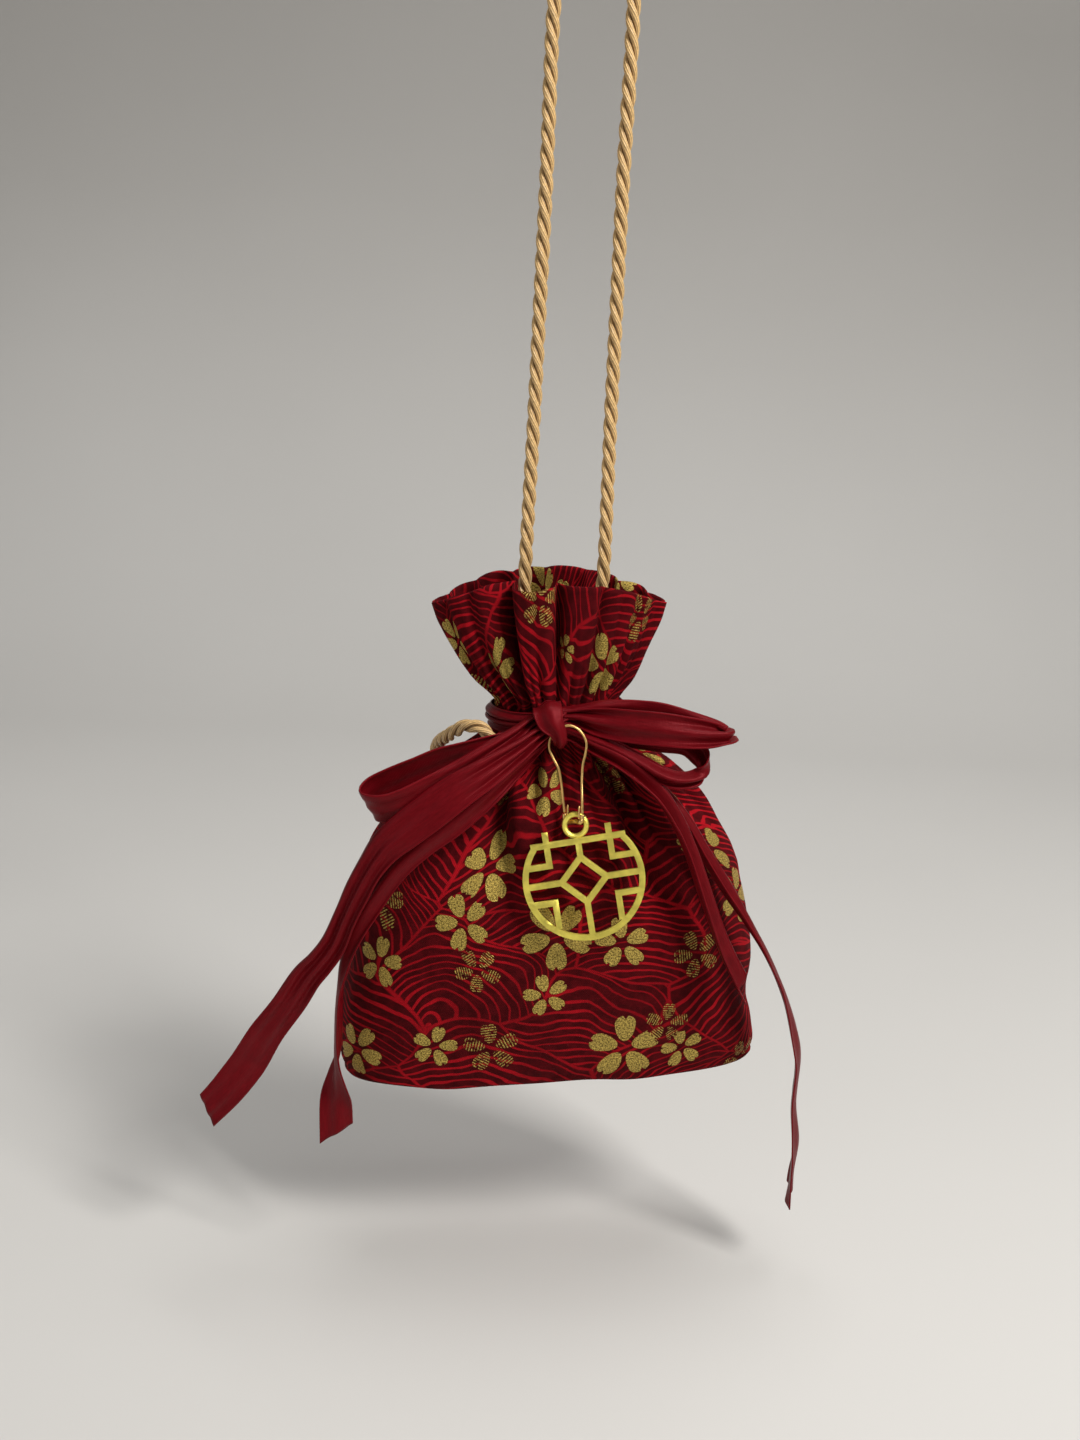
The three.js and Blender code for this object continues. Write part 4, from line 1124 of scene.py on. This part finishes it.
TAIL_C = [
    (-2, -15.9, 92.4, 3, *FRONT),
    (3.6, -15.8, 92.5, 2.6, 0.2, -1, 0),
    (7.4, -15.6, 91.2, 2.6, 0.3, -1, 0),
    (10.4, -16, 87.8, 3, 0.5, -0.8, 0.2),
    (13.8, -16.6, 84.4, 4, 0.7, -0.7, 0.4),
    (21.3, -17.2, 79, 5.6, 0.9, -0.2, 0.6),
    (30, -17.4, 69, 6, 0.9, -0.2, 0.6),
    (35.5, -17.4, 59.8, 6, 0.9, -0.2, 0.5),
    (40.9, -16.8, 51.2, 6, 0.9, -0.2, 0.5),
    (45.5, -16.4, 43.6, 7, 0.9, 0, 0.5),
    (50.8, -15.6, 34.2, 8, 0.9, 0, 0.4),
    (55.5, -14.6, 23.1, 8, 0.9, -0.1, 0.3),
    (58.2, -14, 13.5, 8, 1, -0.3, 0.1),
    (59.6, -13.4, 6.7, 8, 1, -0.3, 0),
    (59.1, -13, -6.2, 8, 1, -0.2, 0),
    (60, -13, -16.4, 8, 1, -0.3, 0),
    (59.3, -13, -24.9, 8, 1, -0.2, 0),
    (58.8, -13, -31, 7, 1, -0.2, 0),
]

SMALL_LOOP = [
    (-3, -15.9, 89.2, 2.6, 0, 1, 0),
    (4.6, -14.7, 89.1, 2.6, 0, 1, 0),
    (9, -13.6, 88.2, 3.4, 0, 1, 0),
    (15.3, -13.6, 87.6, 4.6, 0, 1, 0),
    (24.5, -15.2, 87, 6, 0, 1, 0.1),
    (30.8, -16.8, 86.4, 6.4, 0, 1, 0.3),
    (33.8, -18.4, 84.2, 5.6, 0.1, 1, 0.2),
    (34.5, -19.9, 82, 4.4, 0.7, 0.7, 0),
    (34, -21, 80.3, 3.8, 1, -0.1, 0),
    (31.8, -22, 79.4, 3.6, 0.5, -0.9, -0.1),
    (28, -22.6, 79.4, 3.8, *FRONT),
    (24, -22.4, 80.8, 3.8, *FRONT),
    (19.6, -21.2, 83.2, 3.8, *FRONT),
    (13.4, -19.2, 86.2, 3.4, *FRONT),
    (8.4, -17.7, 88, 3, *FRONT),
    (4, -16.1, 89, 2.6, *FRONT),
    (-3, -15.9, 89.2, 2.6, *FRONT),
]

TAIL_B = [
    (3, -15.9, 89.2, 2.6, *FRONT),
    (-1.4, -16.4, 87.4, 2.6, *FRONT),
    (-8.8, -18.6, 81.6, 5.2, *FRONT),
    (-16.1, -22.4, 75.8, 7, *FRONT),
    (-23.5, -25, 70.4, 7.8, *FRONT),
    (-30.3, -26, 65.6, 7.6, *FRONT),
    (-36.4, -25.8, 60, 7.2, -0.3, -1, 0.1),
    (-41.2, -25, 53.2, 6.8, -0.5, -0.8, 0),
    (-45.4, -23.8, 45.2, 6.8, -0.8, -0.5, 0),
    (-48.6, -22.8, 36.8, 7, -0.9, -0.3, 0),
    (-50.4, -22, 26, 7.6, -1, 0, 0),
    (-51.2, -21.8, 12.5, 7.6, -1, 0, 0),
    (-51.8, -21.8, 4.7, 8, -0.8, -0.6, 0),
    (-52.2, -21.8, -2, 8, -0.2, -1, 0),
    (-52.3, -21.8, -9.4, 8, *FRONT),
]

TAIL_D = [
    (-3, -15.9, 89.2, 2.6, *FRONT),
    (4, -16.4, 88.6, 2.6, *FRONT),
    (9, -18.1, 86.4, 3, *FRONT),
    (16.3, -21, 82.7, 3.6, 0.3, -0.9, 0.3),
    (23.7, -22.8, 76.4, 4.6, 0.7, -0.6, 0.4),
    (28.1, -23.2, 69.6, 5.2, 0.8, -0.5, 0.4),
    (31.2, -23.3, 62.8, 5.4, 0.9, -0.4, 0.3),
    (35.5, -23.2, 50.8, 6, 0.92, -0.35, 0.3),
    (39.9, -22.4, 38.8, 6.6, 0.92, -0.35, 0.2),
    (44.6, -21.4, 28.4, 6.6, 0.9, -0.4, 0.2),
]

BAND_GAP = 0.55                     # from the cloth to the middle of the band round it
BAND_WAVE = 0.25
BAND_RISE = 0.9                     # of the band's left half
ACROSS = 16                         # faces across a ribbon
OPEN_FOLD = 0.12                    # height of the folds where the ribbon lies open
OPEN_SHARE = 0.92                   # of its width, from which on it lies open
DRAWN_SHARE = 0.55                  # of its width, at which it is drawn together in full
RIBBON_CAMBER = 0.3
RIBBON_RIPPLE = 0.5
RIBBON_CREASE = 0.22
CUT_LENGTH = 8.0                    # over which a tail's end runs out into its slanted cut


def neck_band(low, high):
    """Stations of the band round the neck, from behind the knot all the way round."""
    grow = 1 + BAND_GAP / NECK_HALF_DEPTH
    made = []
    for turn in range(0, 361, 15):
        x, y = math.sin(math.radians(turn)), -math.cos(math.radians(turn))
        left = turn > 180
        side = NECK_HALF_LEFT if left else NECK_HALF_WIDTH
        z = (low + high) / 2 + BAND_WAVE * math.sin(math.radians(3 * turn)) + BAND_RISE * x * left
        made.append((side * grow * x, NECK_HALF_DEPTH * grow * y, z, high - low, x, y, 0))
    return made


def gather_height(chord, flat, waves, most):
    """How high the folds across a ribbon stand, when its flat width is drawn in to a chord."""
    low, high = 0.0, most
    w = np.linspace(-1, 1, 61)
    for _ in range(14):
        mid = (low + high) / 2
        slope = mid * math.pi * waves * np.cos(math.pi * waves * w)
        if float(np.mean(np.hypot(chord / 2, slope))) * 2 < flat:
            low = mid
        else:
            high = mid
    return low


def strip(stations, flat_width, spacing=0.8, waves=2.3, slant=0.0, seed=0.0, most=1.12):
    """Grid of points of one stretch of ribbon, its flat layout and its length."""
    s = even(through(stations, 420), spacing)
    path, facing = s[:, :3], s[:, 4:7]
    width = np.minimum(s[:, 3], flat_width)
    along = unit(np.gradient(path, axis=0))
    side = unit(np.cross(along, facing))
    out = np.cross(side, along)
    at = lengths_along(path)
    w = np.linspace(-1, 1, ACROSS + 1)
    rows = []
    for k, point in enumerate(path):
        share = width[k] / flat_width
        drawn = smooth(share, OPEN_SHARE, DRAWN_SHARE)
        height = gather_height(width[k], flat_width, waves, OPEN_FOLD + (most - OPEN_FOLD) * drawn)
        fold = height * np.sin(math.pi * waves * w + seed + 0.35 * math.sin(at[k] * 0.11 + seed))
        camber = RIBBON_CAMBER * (1 - w ** 2) * share
        ripple = RIBBON_RIPPLE * noise.noise(Vector((at[k] * 0.06, seed * 5.0, 0.3))) * w
        crease = noise.noise(Vector((at[k] * 0.16, seed * 3.0, 4.0))) * (1 - 2 * np.abs(w))
        lift = fold + camber + ripple + RIBBON_CREASE * (1 - drawn) * crease
        shift = slant * w * smooth(at[k], at[-1] - CUT_LENGTH, at[-1])
        rows.append(point + np.outer(w * width[k] / 2, side[k]) + np.outer(lift, out[k])
                    + np.outer(shift, along[k]))
    across = np.repeat(w[None, :] * flat_width / 2, len(path), axis=0)
    length = np.repeat(at[:, None], ACROSS + 1, axis=1)
    return np.array(rows), np.stack([across, length], axis=-1), at[-1]


def ribbon(name, node, strips, settings, material):
    """One ribbon from its stretches, given real thickness, and laid out flat over its whole length."""
    flat_width = settings.width / MM
    verts, faces, uvs = [], [], []
    total = 0.0
    for stations, choices in strips:
        grid, layout, length = strip(stations, flat_width, **choices)
        quads, row, column = grid_faces(grid.shape[0], grid.shape[1], False)
        faces.append(quads + sum(len(v) for v in verts))
        verts.append(grid.reshape(-1, 3))
        uvs.append((layout[row, column] + (0.0, total)) / PRINT_MM)
        total += length
    piece = new_piece(name, to_frame(np.concatenate(verts)), np.concatenate(faces), material)
    set_uv(piece.data, "ribbon", np.concatenate(uvs))
    body = piece.modifiers.new("thickness", "SOLIDIFY")
    body.thickness = settings.thickness
    body.offset = 0.0
    apply_modifiers(piece)
    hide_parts(node)
    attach(piece, "root")


class POUCH_OT_ribbons(bpy.types.Operator):
    """Make the two satin ribbons that are tied round the neck"""
    bl_idname = "pouch.ribbons"
    bl_label = "Ribbons"

    def execute(self, context):
        settings = context.scene.pouch_ribbon
        material = satin(settings)
        ribbon("ribbon_long_satin", "ribbon_long", [
            (neck_band(NECK_Z - 0.5, NECK_HIGH - 0.9), {"waves": 1.1, "seed": 1.0, "most": 0.5}),
            (KNOT_WRAP, {"waves": 1.2, "seed": 2.0, "spacing": 0.5, "most": 0.5}),
            (LEFT_LOOP, {"seed": 0.4}),
            (RIGHT_LOOP, {"seed": 1.7, "waves": 1.7}),
            (TAIL_A, {"seed": 2.6, "slant": -2.2}),
            (TAIL_C, {"seed": 3.1, "slant": 2.0, "waves": 1.3}),
        ], settings, material)
        ribbon("ribbon_short_satin", "ribbon_short", [
            (neck_band(NECK_LOW + 0.1, NECK_Z - 0.3), {"waves": 1.1, "seed": 4.0, "most": 0.5}),
            (SMALL_LOOP, {"seed": 0.9, "waves": 1.3}),
            (TAIL_B, {"seed": 2.2, "slant": 2.6, "waves": 1.5}),
            (TAIL_D, {"seed": 3.7, "slant": 3.0, "waves": 1.2}),
        ], settings, material)
        return {"FINISHED"}


# Pin and pendant. The pin is drawn in its own plane: X to the right, Z up, the hinge at the origin

HINGE = np.array([1.4, -18.5, 90.4])
PIN_LEAN = math.radians(-12)
CROSS_Y = 1.5
RING_CENTRE = (3.6, -22.0)
BULB_OUTLINE = [
    (1.15, -19.2), (0.7, -15.6), (0.35, -12.4), (-0.3, -9.0), (-1.6, -6.4), (-2.4, -4.4),
    (-2.3, -2.5), (-1.5, -1.0), (-0.3, 0.0), (1.2, 0.75), (2.6, 0.8), (4.0, 0.2), (5.3, -1.2),
    (6.1, -3.2), (5.9, -5.4), (5.3, -8.0), (5.05, -12.0), (5.1, -16.0), (5.15, -19.2),
]
LEG_LEFT = BULB_OUTLINE[0][0]
LEG_RIGHT = BULB_OUTLINE[-1][0]
CLASP_RADIUS = 0.55
PRONG_RADIUS = 0.27
PRONG_TOP = -17.3


def tube(name, line, radius, material, sides=16):
    """Round bar along a line in pin axes. radius is one value or one for each point."""
    radius = np.broadcast_to(radius, len(line))[:, None, None]
    x, y, z = np.moveaxis(rings_round(line, radius, sides).reshape(-1, 3), -1, 0)
    y, z = rotated(y, z, PIN_LEAN)
    quads, _, _ = grid_faces(len(line), sides, True)
    piece = new_piece(name, to_frame(np.stack([x, y, z], axis=-1) + HINGE), quads, material)
    close_ends(piece)
    return piece


def pin_wire(settings, material):
    """The bulb, whose two legs cross from front to back on their way down."""
    line = []
    for x, z in BULB_OUTLINE:
        side = 1 if x < 3 else -1
        line.append((x, side * CROSS_Y * smooth(-z, 9, 18), z))
    return tube("pin_wire_polished", even(through(line, 500), 0.25), settings.wire / MM / 2, material)


def pin_clasp(material):
    """The folded cap: a bar round the pendant's ring, and the two cone-shaped ends that hold the legs."""
    x, z = RING_CENTRE
    jaws = [
        (LEG_LEFT, CROSS_Y, -19.5), (1.2, CROSS_Y, -20.5), (1.7, CROSS_Y * 1.1, -21.3),
        (x - 0.7, CROSS_Y * 0.5, z + 0.75), (x, 0, z + 0.9), (x + 0.7, -CROSS_Y * 0.5, z + 0.75),
        (4.7, -CROSS_Y * 1.1, -21.1), (5.1, -CROSS_Y, -20.4), (LEG_RIGHT, -CROSS_Y, -19.5),
    ]
    clasp = tube("pin_clasp_cap", even(through(jaws, 300), 0.15), CLASP_RADIUS, material)
    up = np.linspace(-20.4, PRONG_TOP - 0.1, 12)
    taper = PRONG_RADIUS * np.sqrt(np.clip((PRONG_TOP - up) / 0.8, 0.05, 1.0))
    prongs = []
    for x, y in ((LEG_LEFT + 0.72, CROSS_Y), (LEG_RIGHT - 0.72, -CROSS_Y)):
        line = np.stack([np.full_like(up, x), np.full_like(up, y), up], axis=1)
        prongs.append(tube("prong", line, taper, material, 12))
    join_to(clasp, prongs)
    return clasp


class POUCH_OT_pin(bpy.types.Operator):
    """Make the bulb-shaped safety pin"""
    bl_idname = "pouch.pin"
    bl_label = "Safety pin"

    def execute(self, context):
        settings = context.scene.pouch_metal
        gold = polished_gold(settings)
        for piece, node in ((pin_wire(settings, gold), "pin_wire"), (pin_clasp(gold), "pin_clasp")):
            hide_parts(node)
            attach(piece, "pin")
        return {"FINISHED"}


class POUCH_OT_pendant(bpy.types.Operator):
    """Give the openwork pendant rounded bright edges and a grained face"""
    bl_idname = "pouch.pendant"
    bl_label = "Pendant"

    def execute(self, context):
        settings = context.scene.pouch_metal
        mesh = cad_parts["pendant"].data.copy()
        mesh.name = "pendant_lattice"
        mesh.materials.clear()
        mesh.materials.append(satin_gold(settings, "pendant_gold", 1.0, 0.3, 0.5))
        # The bevelled edges: smoother, and with their gold 1.15 times lighter as a painted highlight.
        mesh.materials.append(satin_gold(settings, "pendant_edge", 1.15, 0.2, 0.32))
        work = bmesh.new()
        work.from_mesh(mesh)
        bmesh.ops.remove_doubles(work, verts=work.verts, dist=2e-6)
        bmesh.ops.dissolve_limit(work, angle_limit=math.radians(2), verts=work.verts, edges=work.edges)
        work.to_mesh(mesh)
        work.free()
        mesh.polygons.foreach_set("material_index", [0] * len(mesh.polygons))
        piece = add_object("pendant_lattice", mesh)
        bevel = piece.modifiers.new("edges", "BEVEL")
        bevel.width = settings.edge
        bevel.segments = 2
        bevel.limit_method = "ANGLE"
        bevel.angle_limit = math.radians(50)
        bevel.material = 1
        apply_modifiers(piece)
        piece.data.polygons.foreach_set("use_smooth", [True] * len(piece.data.polygons))
        piece.data.set_sharp_from_angle(angle=math.radians(32))
        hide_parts("pendant")
        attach(piece, "pendant")
        return {"FINISHED"}


# Stage

PICTURE_HEIGHT = 1440
FOCAL_PIXELS = 1666.7
CAMERA_RISE = math.radians(14)
CAMERA_DISTANCE = 400.0
CAMERA_SHIFT = 3.12
AIM = np.array([0.0, 0.0, 88.0])

# The backdrop, in metres: paper that lies flat, bends up behind the pouch and stands as a wall
FLOOR_GAP = 0.02
FLOOR_FRONT = -3.0
BEND_START = 0.5
BEND_RADIUS = 0.3
WALL_TOP = 3.0
PAPER_HALF_WIDTH = 4.0

# Lamps in the model's frame: place, width and height, watts, colour
LAMP_AIM = (0.0, 0.0, -0.18)
LAMPS = {
    "key": ((0.45, -0.42, 0.42), (0.26, 0.26), 7.4, (1.0, 0.985, 0.96)),
    "fill": ((-0.75, -0.55, -0.05), (0.6, 0.6), 1.2, (0.96, 0.98, 1.0)),
    "top": ((0.1, 0.15, 0.75), (0.7, 0.5), 4.2, (1.0, 1.0, 1.0)),
}
ROOM_COLOUR = (0.95, 0.95, 0.94, 1.0)
ROOM_STRENGTH = 0.26


def add_camera():
    """The camera of the photograph: level with the frill's top and tipped down at the neck."""
    ahead = np.array([0.0, math.cos(CAMERA_RISE), -math.sin(CAMERA_RISE)])
    up = np.array([0.0, math.sin(CAMERA_RISE), math.cos(CAMERA_RISE)])
    right = np.array([1.0, 0.0, 0.0])
    place = AIM - CAMERA_DISTANCE * ahead - CAMERA_SHIFT * right
    lens = bpy.data.cameras.new("camera")
    lens.sensor_fit = "VERTICAL"
    lens.sensor_height = 24.0
    lens.lens = lens.sensor_height * FOCAL_PIXELS / PICTURE_HEIGHT
    lens.clip_start = 0.01
    camera = add_object("camera", lens)
    turn = TURN_TO_FRAME @ Matrix((right, up, -ahead)).transposed()
    camera.matrix_world = Matrix.Translation(to_frame(place)) @ turn.to_4x4()
    bpy.context.scene.camera = camera


def add_lamp(name, place, size, power, colour):
    """A soft lamp that shines at the pouch."""
    data = bpy.data.lights.new(name, "AREA")
    data.shape = "RECTANGLE"
    data.size, data.size_y = size
    data.energy = power
    data.color = colour
    lamp = add_object(name, data)
    lamp.location = place
    lamp.rotation_euler = (Vector(LAMP_AIM) - Vector(place)).to_track_quat("-Z", "Y").to_euler()


def add_backdrop():
    """Paper that bends up from the floor into a wall."""
    sweep = [(FLOOR_FRONT, 0.0), (BEND_START, 0.0)]
    for turn in range(10, 91, 10):
        y, z = rotated(0.0, -BEND_RADIUS, math.radians(turn))
        sweep.append((BEND_START + y, BEND_RADIUS + z))
    sweep.append((BEND_START + BEND_RADIUS, WALL_TOP))
    low = CAD_BOX[0][2] - FLOOR_GAP
    verts = [(x, y, low + z) for y, z in sweep for x in (-PAPER_HALF_WIDTH, PAPER_HALF_WIDTH)]
    faces, _, _ = grid_faces(len(sweep), 2, False)
    return new_piece("backdrop", verts, faces, stage_paper())


class POUCH_OT_stage(bpy.types.Operator):
    """Make the floor with its backdrop, the lamps and the camera"""
    bl_idname = "pouch.stage"
    bl_label = "Stage"

    def execute(self, context):
        scene = context.scene
        scene.view_settings.view_transform = "Standard"
        add_camera()
        add_backdrop()
        for name, choices in LAMPS.items():
            add_lamp(name, *choices)
        scene.world = bpy.data.worlds.new("room")
        scene.world.use_nodes = True
        sky = scene.world.node_tree.nodes["Background"]
        sky.inputs["Color"].default_value = ROOM_COLOUR
        sky.inputs["Strength"].default_value = ROOM_STRENGTH
        return {"FINISHED"}


class POUCH_PT_panel(bpy.types.Panel):
    """Sizes, colours and the steps that make the pouch"""
    bl_idname = "POUCH_PT_panel"
    bl_label = "Drawstring pouch"
    bl_space_type = "VIEW_3D"
    bl_region_type = "UI"
    bl_category = "Pouch"

    def draw(self, context):
        layout = self.layout
        for name in SETTINGS:
            box = layout.box()
            group = getattr(context.scene, name)
            for key in group.bl_rna.properties.keys():
                if key not in ("rna_type", "name"):
                    box.prop(group, key)
        for operator in OPERATORS:
            layout.operator(operator.bl_idname)


SETTINGS = {
    "pouch_cloth": ClothSettings,
    "pouch_cord": CordSettings,
    "pouch_ribbon": RibbonSettings,
    "pouch_metal": MetalSettings,
}
OPERATORS = [POUCH_OT_stage, POUCH_OT_cords, POUCH_OT_cloth, POUCH_OT_ribbons, POUCH_OT_pin,
             POUCH_OT_pendant]
CLASSES = [*SETTINGS.values(), *OPERATORS, POUCH_PT_panel]


def register():
    for item in CLASSES:
        bpy.utils.register_class(item)
    for name, group in SETTINGS.items():
        setattr(bpy.types.Scene, name, bpy.props.PointerProperty(type=group))


def unregister():
    for name in SETTINGS:
        delattr(bpy.types.Scene, name)
    for item in reversed(CLASSES):
        bpy.utils.unregister_class(item)


def main():
    register()
    bpy.ops.pouch.stage()
    bpy.ops.pouch.cords()
    bpy.ops.pouch.cloth()
    bpy.ops.pouch.ribbons()
    bpy.ops.pouch.pin()
    bpy.ops.pouch.pendant()


if __name__ == "__main__":
    main()
